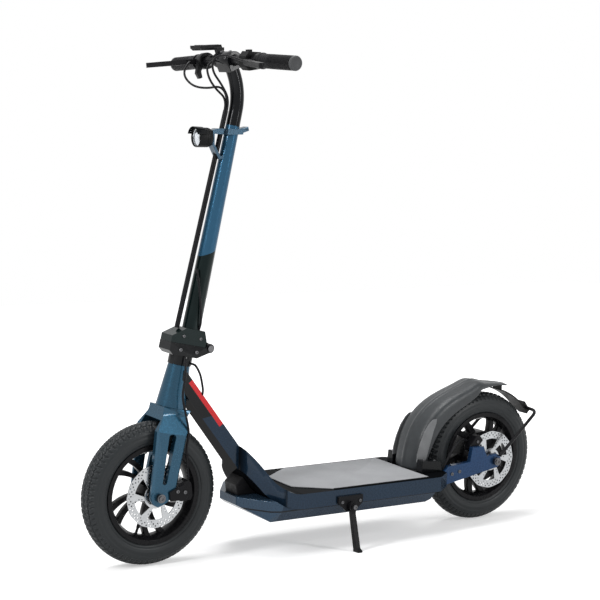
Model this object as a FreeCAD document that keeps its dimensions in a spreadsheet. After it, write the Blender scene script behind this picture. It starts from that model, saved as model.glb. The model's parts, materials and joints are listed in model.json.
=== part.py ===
import FreeCAD, Part
import math
import os
import Sketcher

# Folding electric kick scooter, parked on its side stand.
# Millimetres and degrees. +X is forward, +Y is the rider's left, +Z is up.
# Everything is drawn upright first and then leaned onto the stand by one placement.

V = FreeCAD.Vector
doc = FreeCAD.newDocument("Scooter")
sheet = doc.addObject("Spreadsheet::Sheet", "Sizes")

SIZES = [
    # the whole vehicle
    ("lean", 3.5, "lean angle on the side stand"),
    ("wheelbase", 900, "distance between the axles"),
    ("rake", 11.6, "steering axis angle from upright"),
    ("steer_x", 472, "where the steering axis meets the ground line"),
    ("fit_gap", 0.05, "radial gap of turning fits"),
    ("side_gap", 0.6, "end gap of turning fits"),
    # tyres
    ("tyre_radius", 157, "tyre outer radius"),
    ("tyre_half", 29, "half width of the tyre"),
    ("tyre_wall", 5, "tyre wall"),
    ("flange_radius", 109, "rim flange radius"),
    ("bead_radius", 104, "bead seat radius"),
    # rims
    ("rim_half", 25, "half width of the rim"),
    ("well_radius", 92, "rim well radius"),
    ("rim_wall", 5, "rim wall"),
    ("spoke_half", 8, "half width of a spoke along the axle"),
    ("spoke_count", 5, "number of spoke pairs"),
    ("hub_radius", 25, "front hub radius"),
    ("hub_half", 33, "front hub half length"),
    ("motor_radius", 62, "hub motor radius"),
    ("motor_half", 44, "hub motor half length"),
    ("axle_radius", 6, "axle radius"),
    # brake rotors
    ("rotor_radius", 70, "brake rotor radius"),
    ("rotor_ring", 15, "width of the rotor's braking ring"),
    ("rotor_thick", 2, "rotor thickness"),
    ("rotor_seat", 24, "outer radius of the rotor's centre ring"),
    # fork, in the steering frame
    ("crown_depth", 25.8, "crown between the wheel's well and the seam"),
    ("crown_radius", 33, "crown and head radius at the seam"),
    ("blade_back", 27, "rear edge of the blades behind the axis"),
    ("shoulder_front", 46, "front edge of the blades at the shoulder"),
    ("shoulder_drop", 52, "shoulder below the crown top"),
    ("dropout_radius", 20, "round end of the blades"),
    ("blade_thick", 10, "blade thickness"),
    ("blade_inner", 42, "half gap between the blades"),
    ("blade_chamfer", 4.5, "chamfer on the blades' outer edges"),
    ("well_gap", 8, "gap over the tyre under the crown"),
    ("steerer_radius", 14, "steerer tube radius"),
    ("slot_width", 17, "blade window width at its top"),
    ("tyre_room", 36, "half width of the well for the tyre"),
    # head tube
    ("head_length", 92, "head tube length"),
    ("head_top_radius", 24, "head tube radius at its top"),
    # fold
    ("collar_height", 20, "collar between the head and the fold block"),
    ("collar_radius", 26, "collar radius"),
    ("base_height", 26, "lower fold block height"),
    ("block_front", 44, "fold block in front of the axis"),
    ("block_half", 25, "fold block half width"),
    ("hinge_back", 54, "fold hinge behind the axis"),
    ("hinge_radius", 4, "fold pin radius"),
    ("knuckle_radius", 10, "fold knuckle radius"),
    ("knuckle_half", 12, "half width of the stem's knuckle"),
    ("foot_height", 34, "stem foot block height"),
    # stem
    ("stem_back", 11.5, "stem centre behind the steering axis"),
    ("stem_low_radius", 20, "stem radius at its foot"),
    ("stem_top_radius", 15, "stem radius at the bend"),
    ("bend_height", 1000, "start of the bend, along the steering axis"),
    ("bend_radius", 140, "radius of the bend"),
    ("bend_angle", 38, "turn of the bend"),
    ("bar_reach", 20, "bar centre beyond the end of the bend"),
    ("head_half", 27, "half width of the bar clamp"),
    # lamp and cables on the stem
    ("lamp_drop", 68, "lamp below the start of the bend"),
    ("lamp_reach", 47.6, "lamp's back face in front of the stem's axis"),
    ("plate_half", 16, "half height of the plate behind the lamp"),
    ("lamp_radius", 21, "lamp housing radius"),
    ("lamp_length", 36, "lamp housing length"),
    ("ring_wall", 4, "wall of the lamp bracket's ring round the stem"),
    ("conduit_radius", 5.5, "cable conduit radius"),
    ("conduit_low", 35.2, "conduit in front of the stem's axis, at its foot"),
    ("conduit_lean", 1.3, "conduit's angle to the stem's axis"),
    ("hose_radius", 2.4, "brake hose radius"),
    ("hose_spread", 3, "hoses' distance from the conduit's middle"),
    ("strap_half", 10, "half width of the lamp bracket's strap"),
    # handlebar
    ("bar_half", 255, "half width of the handlebar with grips"),
    ("bar_radius", 11.1, "bar radius"),
    ("bar_middle", 62, "half length of the straight middle"),
    ("bar_sweep", 4, "back sweep of the bar ends"),
    ("bar_roll", 146, "plane of the bar sweep"),
    ("bar_bend", 120, "bend radius of the bar"),
    ("grip_length", 122, "grip length"),
    ("grip_radius", 15.5, "grip radius"),
    ("grip_end", 5, "grip end cap"),
    ("switch_width", 26, "switch block along the bar"),
    ("throttle_radius", 18, "throttle ring radius"),
    ("display_width", 46, "display along the bar"),
    ("lever_reach", 42, "brake lever pivot in front of the bar"),
    ("lever_tip", 76, "brake lever tip in front of the bar"),
    ("lever_length", 106, "brake lever length along the grip"),
    # deck and neck
    ("deck_height", 146, "deck surface above the ground"),
    ("rail_depth", 34, "depth of the frame rail"),
    ("deck_half", 118, "half width of the deck"),
    ("deck_rear", 296, "deck rear end behind the middle"),
    ("neck_angle", 52.4, "neck slope"),
    ("neck_x", 223, "a point on the neck's upper face"),
    ("neck_rise", 73, "height of that point above the deck"),
    ("neck_half", 30, "half width of the neck"),
    ("neck_depth", 32, "depth of the neck"),
    ("inner_bend", 80, "bend radius above the deck"),
    ("wall", 4, "frame wall"),
    ("hull_depth", 26, "depth of the lower hull under the rails"),
    ("hull_wall", 3, "wall of the lower hull"),
    ("nose_x", 252, "front of the nose"),
    ("nose_drop", 12, "top of the nose below the deck surface"),
    ("nose_half", 36, "half width of the nose"),
    ("mat_thick", 2, "grip mat"),
    ("mat_front", 36, "front end of the mat's full width"),
    ("mat_gap", 3, "gap between the mat and the rear fender's foot"),
    ("fender_start", 68, "front of the fender's foot ahead of the deck's rear end"),
    ("side_slope", 16, "how far the hull's sides draw in at the bottom"),
    ("battery_half", 86, "battery block half width"),
    ("battery_length", 320, "battery block length"),
    # rear end
    ("arm_inner", 63, "rear arm inner face from the middle"),
    ("arm_thick", 13, "rear arm thickness"),
    ("boss_radius", 17, "rear axle boss"),
    ("nut_length", 9, "axle nut length"),
    ("fender_half", 48, "rear fender half width"),
    ("fender_skin", 5, "rear fender skin"),
    ("hugger_radius", 168, "inner radius of the rear hugger strip"),
    ("tail_half", 17, "half width of the hugger's end block"),
    ("stay_radius", 4, "hugger stay radius"),
    ("panel_thick", 2, "fender side panel"),
    # side stand
    ("stand_x", 4, "side stand pivot ahead of the middle"),
    ("stand_y", 130, "side stand pivot, middle of its boss"),
    ("stand_drop", 38, "side stand pivot below the deck surface"),
    ("stand_out", 25, "how far the stand's foot is outside its pivot"),
    ("stand_half", 5.5, "half thickness of the stand's leg"),
    ("stand_pin", 4.5, "side stand pin radius"),
]

for row, (alias, amount, note) in enumerate(SIZES, start=1):
    sheet.set("A%d" % row, note)
    sheet.set("B%d" % row, str(amount))
    sheet.setAlias("B%d" % row, alias)
doc.recompute()


class Size:
    """A number together with the sheet expression that gives it."""

    def __init__(self, text, value):
        self.text = text
        self.value = value

    def join(self, other, sign, value):
        return Size("(%s %s %s)" % (self.text, sign, text_of(other)), value)

    def __add__(self, other):
        return self.join(other, "+", self.value + number(other))

    def __radd__(self, other):
        return self + other

    def __sub__(self, other):
        return self.join(other, "-", self.value - number(other))

    def __rsub__(self, other):
        return Size("(%s - %s)" % (text_of(other), self.text), number(other) - self.value)

    def __mul__(self, other):
        return self.join(other, "*", self.value * number(other))

    def __rmul__(self, other):
        return self * other

    def __truediv__(self, other):
        return self.join(other, "/", self.value / number(other))

    def __neg__(self):
        return Size("(0 - %s)" % self.text, -self.value)


def number(item):
    return item.value if isinstance(item, Size) else float(item)


def text_of(item):
    return item.text if isinstance(item, Size) else "(%s)" % repr(float(item))


def sine(item):
    return Size("sin(%s)" % text_of(item), math.sin(math.radians(number(item))))


def cosine(item):
    return Size("cos(%s)" % text_of(item), math.cos(math.radians(number(item))))


def tangent(item):
    return Size("tan(%s)" % text_of(item), math.tan(math.radians(number(item))))


def root(item):
    return Size("sqrt(%s)" % text_of(item), math.sqrt(number(item)))


class Sheet:
    pass


s = Sheet()
for alias, amount, note in SIZES:
    setattr(s, alias, Size("Sizes." + alias, float(amount)))


def bind(obj, prop, item):
    if isinstance(item, Size):
        obj.setExpression(prop, item.text)
    else:
        setattr(obj, prop, item)


# Placements: the lean, the wheels' axle frames and the steering frame

def turn(axis, angle):
    return FreeCAD.Placement(V(0, 0, 0), FreeCAD.Rotation(V(*axis), number(angle)))


def shift(x, y, z):
    return FreeCAD.Placement(V(number(x), number(y), number(z)), FreeCAD.Rotation())


lift = number(s.tyre_half) * (1 - math.cos(math.radians(number(s.lean))))
UPRIGHT = shift(0, 0, 0)
LEAN = shift(0, 0, lift) * turn((1, 0, 0), -number(s.lean))
STEER = shift(s.steer_x, 0, 0) * turn((0, 1, 0), -number(s.rake))
AXLE = turn((1, 0, 0), -90)
FRONT = shift(s.wheelbase / 2, 0, s.tyre_radius) * AXLE
REAR = shift(-s.wheelbase / 2, 0, s.tyre_radius) * AXLE

# the front axle seen in the steering frame
dx = s.wheelbase / 2 - s.steer_x
axle_u = dx * cosine(s.rake) + s.tyre_radius * sine(s.rake)
axle_v = s.tyre_radius * cosine(s.rake) - dx * sine(s.rake)
crown_height = axle_v + s.tyre_radius + s.well_gap + s.crown_depth

PARTS = {}


def keep(label, obj, at):
    obj.Label = label
    PARTS[label] = (obj, at)
    return obj


def new_body(label, at=UPRIGHT):
    return keep(label, doc.addObject("PartDesign::Body", label), at)


def plane(body, role):
    return [f for f in body.Origin.OriginFeatures if f.Role == role][0]


def sketch(body, role, height=0.0, tilt=None):
    sk = body.newObject("Sketcher::SketchObject", body.Label + "_sketch")
    sk.AttachmentSupport = [(plane(body, role), "")]
    sk.MapMode = "FlatFace"
    spin = tilt if tilt is not None else FreeCAD.Rotation()
    sk.AttachmentOffset = FreeCAD.Placement(V(0, 0, number(height)), spin)
    if isinstance(height, Size):
        sk.setExpression("AttachmentOffset.Base.z", height.text)
    return sk


def pin_down(sk, geo, pos, x, y):
    for kind, item in (("DistanceX", x), ("DistanceY", y)):
        index = sk.addConstraint(Sketcher.Constraint(kind, -1, 1, geo, pos, number(item)))
        if isinstance(item, Size):
            sk.setExpression("Constraints[%d]" % index, item.text)


def arc_between(p, q, radius, large):
    """Arc from p to q; a positive radius turns left, a negative one right."""
    mid = (p + q) * 0.5
    half = (q - p).Length / 2
    rise = math.sqrt(max(radius * radius - half * half, 0.0))
    side = 1 if radius > 0 else -1
    if large:
        side = -side
    normal = V(-(q - p).y, (q - p).x, 0).normalize()
    centre = mid + normal * (rise * side)
    a = math.atan2(p.y - centre.y, p.x - centre.x)
    b = math.atan2(q.y - centre.y, q.x - centre.x)
    if radius < 0:
        a, b = b, a
    if b < a:
        b += 2 * math.pi
    return Part.ArcOfCircle(Part.Circle(centre, V(0, 0, 1), abs(radius)), a, b)


def outline(sk, points):
    """Closed profile. A point is (x, y), or (x, y, radius[, large]) where an arc leaves it."""
    spots = [V(number(p[0]), number(p[1]), 0) for p in points]
    ends = []
    for i, point in enumerate(points):
        p, q = spots[i], spots[(i + 1) % len(points)]
        if len(point) == 2:
            geo = sk.addGeometry(Part.LineSegment(p, q), False)
            ends.append((geo, 1, 2))
        else:
            radius = number(point[2])
            geo = sk.addGeometry(arc_between(p, q, radius, len(point) > 3), False)
            ends.append((geo, 1, 2) if radius > 0 else (geo, 2, 1))
    for i, end in enumerate(ends):
        after = ends[(i + 1) % len(ends)]
        sk.addConstraint(Sketcher.Constraint("Coincident", end[0], end[2], after[0], after[1]))
        pin_down(sk, end[0], end[1], points[i][0], points[i][1])
        if len(points[i]) > 2:
            size = points[i][2] if number(points[i][2]) > 0 else -points[i][2]
            index = sk.addConstraint(Sketcher.Constraint("Radius", end[0], number(size)))
            if isinstance(size, Size):
                sk.setExpression("Constraints[%d]" % index, size.text)


def circle(sk, x, y, radius):
    geo = sk.addGeometry(Part.Circle(V(number(x), number(y), 0), V(0, 0, 1), number(radius)), False)
    pin_down(sk, geo, 3, x, y)
    index = sk.addConstraint(Sketcher.Constraint("Radius", geo, number(radius)))
    if isinstance(radius, Size):
        sk.setExpression("Constraints[%d]" % index, radius.text)


def pad(body, sk, length, middle=True, back=False):
    feature = body.newObject("PartDesign::Pad", body.Label + "_pad")
    feature.Profile = sk
    bind(feature, "Length", length)
    if middle:
        feature.SideType = "Symmetric"
    feature.Reversed = back
    return feature


def pocket(body, sk, length=None, back=False):
    """A cut through everything both ways, or of one length from its sketch."""
    feature = body.newObject("PartDesign::Pocket", body.Label + "_pocket")
    feature.Profile = sk
    if length is None:
        feature.Type = "Length"
        feature.SideType = "Symmetric"
        feature.Length = 3000
    else:
        bind(feature, "Length", length)
    feature.Reversed = back
    return feature


def revolve(body, sk):
    feature = body.newObject("PartDesign::Revolution", body.Label + "_revolution")
    feature.Profile = sk
    feature.ReferenceAxis = (sk, ["V_Axis"])
    feature.Angle = 360
    return feature


def groove(body, sk):
    feature = body.newObject("PartDesign::Groove", body.Label + "_groove")
    feature.Profile = sk
    feature.ReferenceAxis = (sk, ["V_Axis"])
    feature.Angle = 360
    return feature


def polar(body, features, count):
    pattern = body.newObject("PartDesign::PolarPattern", body.Label + "_pattern")
    pattern.Originals = features
    axis = [f for f in body.Origin.OriginFeatures if f.Role == "Z_Axis"][0]
    pattern.Axis = (axis, [""])
    pattern.Angle = 360
    bind(pattern, "Occurrences", count)
    body.Tip = pattern
    return pattern


def turned(label, points, at):
    """A turned piece: radius and height points revolved about its own Z axis."""
    body = new_body(label, at)
    sk = sketch(body, "XZ_Plane")
    outline(sk, points)
    revolve(body, sk)
    return body


def plate(label, role, points, length, at=UPRIGHT):
    """A piece padded both ways from its middle plane."""
    body = new_body(label, at)
    sk = sketch(body, role)
    outline(sk, points)
    pad(body, sk, length)
    return body


def trim(body, role, points):
    """Keep only what lies inside the outline, seen square to the plane."""
    sk = sketch(body, role)
    far = 2000
    outline(sk, [(-far, -far), (far, -far), (far, far), (-far, far)])
    outline(sk, points)
    pocket(body, sk)


def chamfer(body, size, chosen):
    """Chamfer the edges of a body that the test picks by their middle and ends."""
    doc.recompute()
    tip = body.Tip
    names = []
    for index, edge in enumerate(tip.Shape.Edges, start=1):
        ends = [v.Point for v in edge.Vertexes]
        if len(ends) == 2 and chosen(edge.CenterOfMass, ends):
            names.append("Edge%d" % index)
    feature = body.newObject("PartDesign::Chamfer", body.Label + "_chamfer")
    feature.Base = (tip, names)
    bind(feature, "Size", size)
    return feature


def route(label, points, radius, ease, at=UPRIGHT):
    """A round cord or rod along straight runs joined by tangent arcs."""
    spots = [V(*[number(c) for c in p]) for p in points]
    edges = []
    last = spots[0]
    for before, here, after in zip(spots, spots[1:], spots[2:]):
        a = (here - before).normalize()
        b = (after - here).normalize()
        half = a.getAngle(b) / 2
        cut = min((here - before).Length, (after - here).Length) * 0.45
        cut = min(cut, ease * math.tan(half))
        start = here - a * cut
        end = here + b * cut
        bend = cut / math.tan(half)
        centre_way = (b - a).normalize()
        mid = here + centre_way * (bend / math.cos(half) - bend)
        edges.append(Part.LineSegment(last, start).toShape())
        edges.append(Part.Arc(start, mid, end).toShape())
        last = end
    edges.append(Part.LineSegment(last, spots[-1]).toShape())
    wire = Part.Wire(edges)
    first = (spots[1] - spots[0]).normalize()
    ring = Part.Wire([Part.Circle(spots[0], first, number(radius)).toShape()])
    solid = wire.makePipeShell([ring], True, False)
    feature = doc.addObject("Part::Feature", label)
    feature.Shape = solid
    return keep(label, feature, at)


# Wheels, drawn in the axle frame: local Z runs along the axle to the left side

crown_centre = s.tyre_radius - s.tyre_half
bulge = s.tyre_half * s.tyre_half - (crown_centre - s.flange_radius) * (crown_centre - s.flange_radius)
bead_outer = root(bulge)
inner_radius = s.tyre_half - s.tyre_wall
hollow = inner_radius * inner_radius - (crown_centre - s.flange_radius) * (crown_centre - s.flange_radius)
bead_inner = root(hollow)


def tyre(label, at):
    turned(label, [
        (s.bead_radius, -bead_outer),
        (s.flange_radius, -bead_outer, s.tyre_half, True),
        (s.flange_radius, bead_outer),
        (s.bead_radius, bead_outer),
        (s.bead_radius, bead_inner),
        (s.flange_radius, bead_inner, -inner_radius, True),
        (s.flange_radius, -bead_inner),
        (s.bead_radius, -bead_inner),
    ], at)


def rim_points():
    lip = s.bead_radius - s.rim_wall
    slope = bead_inner - s.rim_wall
    inner = s.well_radius
    floor = s.well_radius + s.rim_wall
    return [
        (s.flange_radius, bead_outer),
        (s.flange_radius, s.rim_half),
        (lip, s.rim_half),
        (inner, slope),
        (inner, -slope),
        (lip, -s.rim_half),
        (s.flange_radius, -s.rim_half),
        (s.flange_radius, -bead_outer),
        (s.bead_radius, -bead_outer),
        (s.bead_radius, -bead_inner),
        (floor, -slope),
        (floor, slope),
        (s.bead_radius, bead_inner),
        (s.bead_radius, bead_outer),
    ]


def polar_point(radius, angle):
    return (radius * cosine(angle), radius * sine(angle))


def spokes(body, start, twist, half):
    """Twin curved arms from a hub of the given radius to the rim well."""
    reach = s.well_radius + 2
    for low, low_end, high, high_end in ((-9, twist, 7, twist + 8), (9, twist + 22, 25, twist + 30)):
        sk = sketch(body, "XY_Plane")
        a = polar_point(start, low)
        b = polar_point(reach, low_end)
        c = polar_point(reach, high_end)
        d = polar_point(start, high)
        outline(sk, [a + (s.well_radius,), b, c + (-s.well_radius,), d])
        arm = pad(body, sk, half * 2)
        polar(body, [arm], s.spoke_count)


tyre("front_tyre", FRONT)
tyre("rear_tyre", REAR)

# the front hub turns on the axle and carries the rotor on its left end
front_rim = new_body("front_rim", FRONT)
sk = sketch(front_rim, "XZ_Plane")
outline(sk, rim_points())
revolve(front_rim, sk)
sk = sketch(front_rim, "XZ_Plane")
front_bore = s.axle_radius + s.fit_gap
outline(sk, [
    (front_bore, -s.hub_half),
    (s.hub_radius - 8, -s.hub_half),
    (s.hub_radius, -s.spoke_half - 4),
    (s.hub_radius, s.spoke_half + 4),
    (s.rotor_seat - 4, s.hub_half - 6),
    (s.rotor_seat - 4, s.hub_half),
    (front_bore, s.hub_half),
])
revolve(front_rim, sk)
spokes(front_rim, s.hub_radius - 2, 12, s.spoke_half)

# the rear rim is cast round the hub motor
rear_rim = new_body("rear_rim", REAR)
sk = sketch(rear_rim, "XZ_Plane")
outline(sk, rim_points())
revolve(rear_rim, sk)
sk = sketch(rear_rim, "XZ_Plane")
outline(sk, [
    (front_bore, -s.motor_half),
    (s.motor_radius - 14, -s.motor_half),
    (s.motor_radius, -s.spoke_half - 14),
    (s.motor_radius, s.spoke_half + 14),
    (s.motor_radius - 14, s.motor_half),
    (s.rotor_seat - 4, s.motor_half),
    (s.rotor_seat - 4, s.motor_half + 10),
    (front_bore, s.motor_half + 10),
])
revolve(rear_rim, sk)
spokes(rear_rim, s.motor_radius - 2, 4, s.spoke_half)


def rotor(label, at, seat):
    """Drilled braking ring on a five-armed carrier."""
    body = new_body(label, at)
    sk = sketch(body, "XY_Plane", seat)
    circle(sk, 0, 0, s.rotor_radius)
    circle(sk, 0, 0, s.axle_radius + 3)
    pad(body, sk, s.rotor_thick, middle=False)
    inner = s.rotor_radius - s.rotor_ring
    outer = s.rotor_seat
    sk = sketch(body, "XY_Plane", seat)
    a = polar_point(outer, 8)
    b = polar_point(inner, 22)
    c = polar_point(inner, 76)
    d = polar_point(outer, 64)
    outline(sk, [a, b + (inner,), c, d + (-outer,)])
    window = pocket(body, sk)
    polar(body, [window], 5)
    for radius, start in ((s.rotor_radius - 4, 0), (s.rotor_radius - 8, 12), (s.rotor_radius - 12, 24)):
        sk = sketch(body, "XY_Plane", seat)
        hole = polar_point(radius, start)
        circle(sk, hole[0], hole[1], 1.8)
        cut = pocket(body, sk)
        polar(body, [cut], 10)


rotor("front_rotor", FRONT, s.hub_half)
rotor("rear_rotor", REAR, s.motor_half + 10)

# Fork, in the steering frame

fork = new_body("fork", STEER)
blade_outer = s.blade_inner + s.blade_thick
shoulder_v = crown_height - s.shoulder_drop
sk = sketch(fork, "XZ_Plane")
outline(sk, [
    (-s.blade_back, crown_height - 14),
    (-s.blade_back, axle_v + 28, 60),
    (axle_u, axle_v - s.dropout_radius, s.dropout_radius),
    (axle_u + s.dropout_radius, axle_v),
    (s.shoulder_front, shoulder_v),
    (s.crown_radius, crown_height - 18),
    (s.crown_radius, crown_height),
    (-s.crown_radius, crown_height),
])
pad(fork, sk, blade_outer * 2)
trim(fork, "YZ_Plane", [
    (-blade_outer, 0),
    (blade_outer, 0),
    (blade_outer, shoulder_v),
    (s.crown_radius, crown_height - 12),
    (s.crown_radius, crown_height + 30),
    (-s.crown_radius, crown_height + 30),
    (-s.crown_radius, crown_height - 12),
    (-blade_outer, shoulder_v),
])
# the wheel's well between the blades, and the room for hub and rotor
for radius, half in ((s.tyre_radius + s.well_gap, s.tyre_room), (s.rotor_radius + 8, s.blade_inner)):
    sk = sketch(fork, "XZ_Plane")
    circle(sk, axle_u, axle_v, radius)
    cut = pocket(fork, sk, half * 2)
    cut.SideType = "Symmetric"
# the tapering window in each blade
sk = sketch(fork, "XZ_Plane")
window_top = shoulder_v - 6
window_low = axle_v + 32
narrow = s.slot_width * 0.6
outline(sk, [
    (0, window_low, narrow * 0.55),
    (narrow, window_low),
    (s.slot_width, window_top, s.slot_width * 0.55),
    (0, window_top),
])
pocket(fork, sk)
sk = sketch(fork, "XZ_Plane")
circle(sk, axle_u, axle_v, s.axle_radius)
pocket(fork, sk)
# the blades' outer edges are chamfered, which leaves a flat band round the window
chamfer(fork, s.blade_chamfer, lambda mid, ends: (
    all(abs(abs(p.y) - number(blade_outer)) < 0.1 for p in ends)
    and not -20 < mid.x < number(s.slot_width) + 10
    and mid.z > 170))
# the steerer runs up through the head into the collar of the fold block
head_low = crown_height + s.side_gap
head_high = head_low + s.head_length
collar_low = head_high + s.side_gap
block_low = collar_low + s.collar_height
block_high = block_low + s.base_height
sk = sketch(fork, "XY_Plane", crown_height)
circle(sk, 0, 0, s.steerer_radius)
pad(fork, sk, s.side_gap * 2 + s.head_length + s.collar_height, middle=False)


def axle(label, hub_low, hub_high, inner, outer, at):
    """Through axle: nuts outside the ends, spacers between the ends and the hub."""
    r = s.axle_radius
    turned(label, [
        (0, -outer - s.nut_length),
        (r + 3.5, -outer - s.nut_length),
        (r + 3.5, -outer),
        (r, -outer),
        (r, -inner),
        (r + 2, -inner),
        (r + 2, hub_low - s.side_gap),
        (r, hub_low - s.side_gap),
        (r, hub_high + s.side_gap),
        (r + 2, hub_high + s.side_gap),
        (r + 2, inner),
        (r, inner),
        (r, outer),
        (r + 3.5, outer),
        (r + 3.5, outer + s.nut_length),
        (0, outer + s.nut_length),
    ], at)


axle("front_axle", -s.hub_half, s.hub_half, s.blade_inner, blade_outer, FRONT)
arm_outer = s.arm_inner + s.arm_thick
axle("rear_axle", -s.motor_half, s.motor_half + 10, s.arm_inner, arm_outer, REAR)

# Head tube, a tapered shell round the steerer
bore = s.steerer_radius + s.fit_gap
turned("head_tube", [
    (bore, head_low),
    (s.crown_radius, head_low),
    (s.head_top_radius, head_high),
    (bore, head_high),
], STEER)

# Fold block: collar, lower block and two hinge ears, on top of the steerer
hinge_u = -s.hinge_back
hinge_v = block_high
fold_base = new_body("fold_base", STEER)
sk = sketch(fold_base, "XY_Plane", collar_low)
circle(sk, 0, 0, s.collar_radius)
pad(fold_base, sk, s.collar_height, middle=False)
sk = sketch(fold_base, "XZ_Plane")
outline(sk, [
    (-s.collar_radius, block_low),
    (s.block_front - 10, block_low),
    (s.block_front, block_low + 8),
    (s.block_front, block_high),
    (hinge_u + s.knuckle_radius, block_high, s.knuckle_radius),
    (hinge_u, hinge_v + s.knuckle_radius, s.knuckle_radius),
    (hinge_u - s.knuckle_radius, hinge_v, s.knuckle_radius),
    (hinge_u, hinge_v - s.knuckle_radius),
])
pad(fold_base, sk, s.block_half * 2)
sk = sketch(fold_base, "XZ_Plane")
slot_reach = s.knuckle_radius + 2
outline(sk, [
    (hinge_u - slot_reach, hinge_v - slot_reach),
    (hinge_u + slot_reach, hinge_v - slot_reach),
    (hinge_u + slot_reach, hinge_v + slot_reach),
    (hinge_u - slot_reach, hinge_v + slot_reach),
])
cut = pocket(fold_base, sk, (s.knuckle_half + s.side_gap) * 2)
cut.SideType = "Symmetric"
sk = sketch(fold_base, "XZ_Plane")
circle(sk, hinge_u, hinge_v, s.hinge_radius)
pocket(fold_base, sk)
sk = sketch(fold_base, "XY_Plane", collar_low)
circle(sk, 0, 0, s.steerer_radius)
pocket(fold_base, sk, s.collar_height, back=True)

HINGE = STEER * shift(hinge_u, 0, hinge_v) * AXLE
turned("fold_pin", [
    (0, -s.block_half - 4),
    (s.hinge_radius + 3, -s.block_half - 4),
    (s.hinge_radius + 3, -s.block_half),
    (s.hinge_radius, -s.block_half),
    (s.hinge_radius, s.block_half),
    (s.hinge_radius + 3, s.block_half),
    (s.hinge_radius + 3, s.block_half + 4),
    (0, s.block_half + 4),
], HINGE)

# Stem: foot block with its knuckle, tapered tube and bend, in a frame on its own axis
STEM = STEER * shift(-s.stem_back, 0, 0)
foot_low = block_high + s.side_gap / 2
foot_high = foot_low + s.foot_height
ear_front = hinge_u + s.knuckle_radius + 2 + s.stem_back
stem = new_body("stem", STEM)
sk = sketch(stem, "XZ_Plane")
outline(sk, [
    (ear_front, foot_low),
    (s.block_front + s.stem_back, foot_low),
    (s.block_front + s.stem_back, foot_low + 14),
    (s.stem_low_radius + 4, foot_high),
    (-s.stem_low_radius - 2, foot_high),
    (ear_front, foot_low + 14),
])
pad(stem, sk, s.block_half * 2 - 2)
sk = sketch(stem, "XZ_Plane")
knuckle_u = hinge_u + s.stem_back
outline(sk, [
    (knuckle_u, hinge_v - s.knuckle_radius, s.knuckle_radius),
    (knuckle_u + s.knuckle_radius, hinge_v),
    (ear_front, foot_low),
    (ear_front + 4, foot_low),
    (ear_front + 4, foot_low + 16),
    (knuckle_u, hinge_v + s.knuckle_radius, s.knuckle_radius),
    (knuckle_u - s.knuckle_radius, hinge_v, s.knuckle_radius),
])
pad(stem, sk, s.knuckle_half * 2)
sk = sketch(stem, "XZ_Plane")
circle(sk, knuckle_u, hinge_v, s.hinge_radius + s.fit_gap)
pocket(stem, sk)
sk = sketch(stem, "XZ_Plane")
outline(sk, [
    (0, foot_low + 10),
    (s.stem_low_radius, foot_low + 10),
    (s.stem_low_radius, foot_high + 20),
    (s.stem_top_radius, s.bend_height),
    (0, s.bend_height),
])
revolve(stem, sk)
sk = sketch(stem, "XY_Plane", s.bend_height)
circle(sk, 0, 0, s.stem_top_radius)
end_u = s.bend_radius - s.bend_radius * cosine(s.bend_angle)
end_v = s.bend_height + s.bend_radius * sine(s.bend_angle)
spine = sketch(stem, "XZ_Plane")
spine.addGeometry(arc_between(V(0, number(s.bend_height), 0), V(number(end_u), number(end_v), 0),
                              -number(s.bend_radius), False), False)
pin_down(spine, 0, 2, 0, s.bend_height)
pin_down(spine, 0, 1, end_u, end_v)
index = spine.addConstraint(Sketcher.Constraint("Radius", 0, number(s.bend_radius)))
spine.setExpression("Constraints[%d]" % index, s.bend_radius.text)
bend = stem.newObject("PartDesign::AdditivePipe", "stem_bend")
bend.Profile = sk
bend.Spine = spine
stem.Tip = bend

# Cable conduit in front of the stem, standing on the foot's slope
foot_slope = s.foot_height - 14
foot_run = s.block_front + s.stem_back - s.stem_low_radius - 4
conduit_foot = foot_high - (s.conduit_low - s.conduit_radius - s.stem_low_radius - 4) * foot_slope / foot_run + 0.3
conduit_length = s.bend_height - 4 - conduit_foot
CONDUIT = STEM * shift(s.conduit_low, 0, conduit_foot) * turn((0, 1, 0), -s.conduit_lean)
turned("cable_conduit", [
    (0, 0),
    (s.conduit_radius, 0),
    (s.conduit_radius, conduit_length),
    (0, conduit_length),
], CONDUIT)

# Lamp bracket: a bent strap from a ring round the stem, with a hook at its rear end
lamp_v = s.bend_height - s.lamp_drop
plate_u = s.plate_half * sine(s.rake)
plate_v = s.plate_half * cosine(s.rake)
bracket = plate("lamp_bracket", "XZ_Plane", [
    (12, lamp_v - 38),
    (22, lamp_v - 42),
    (s.lamp_reach - plate_u, lamp_v - plate_v),
    (s.lamp_reach + plate_u, lamp_v + plate_v),
    (40, lamp_v + 22),
    (-6, lamp_v + 30),
    (-33, lamp_v + 42),
    (-37, lamp_v + 34),
    (-14, lamp_v + 21),
    (14, lamp_v + 14),
    (s.lamp_reach - 3, lamp_v + 9),
    (s.lamp_reach - 8, lamp_v - 13),
    (20, lamp_v - 34),
    (12, lamp_v - 31),
], s.strap_half * 2, STEM)
taper_high = foot_high + 20
stem_taper = (s.stem_low_radius - s.stem_top_radius) / (s.bend_height - taper_high)
ring_low = s.stem_top_radius + (s.bend_height - lamp_v + 60) * stem_taper
ring_high = s.stem_top_radius + (s.bend_height - lamp_v - 60) * stem_taper
sk = sketch(bracket, "XZ_Plane")
ring_half = s.stem_top_radius + s.ring_wall
outline(sk, [
    (-ring_half, lamp_v + 22),
    (ring_half, lamp_v + 13),
    (ring_half, lamp_v + 26),
    (-ring_half, lamp_v + 34),
])
pad(bracket, sk, ring_half * 2)
sk = sketch(bracket, "XZ_Plane")
outline(sk, [
    (0, lamp_v - 60),
    (ring_low, lamp_v - 60),
    (ring_high, lamp_v + 60),
    (0, lamp_v + 60),
])
groove(bracket, sk)
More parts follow.
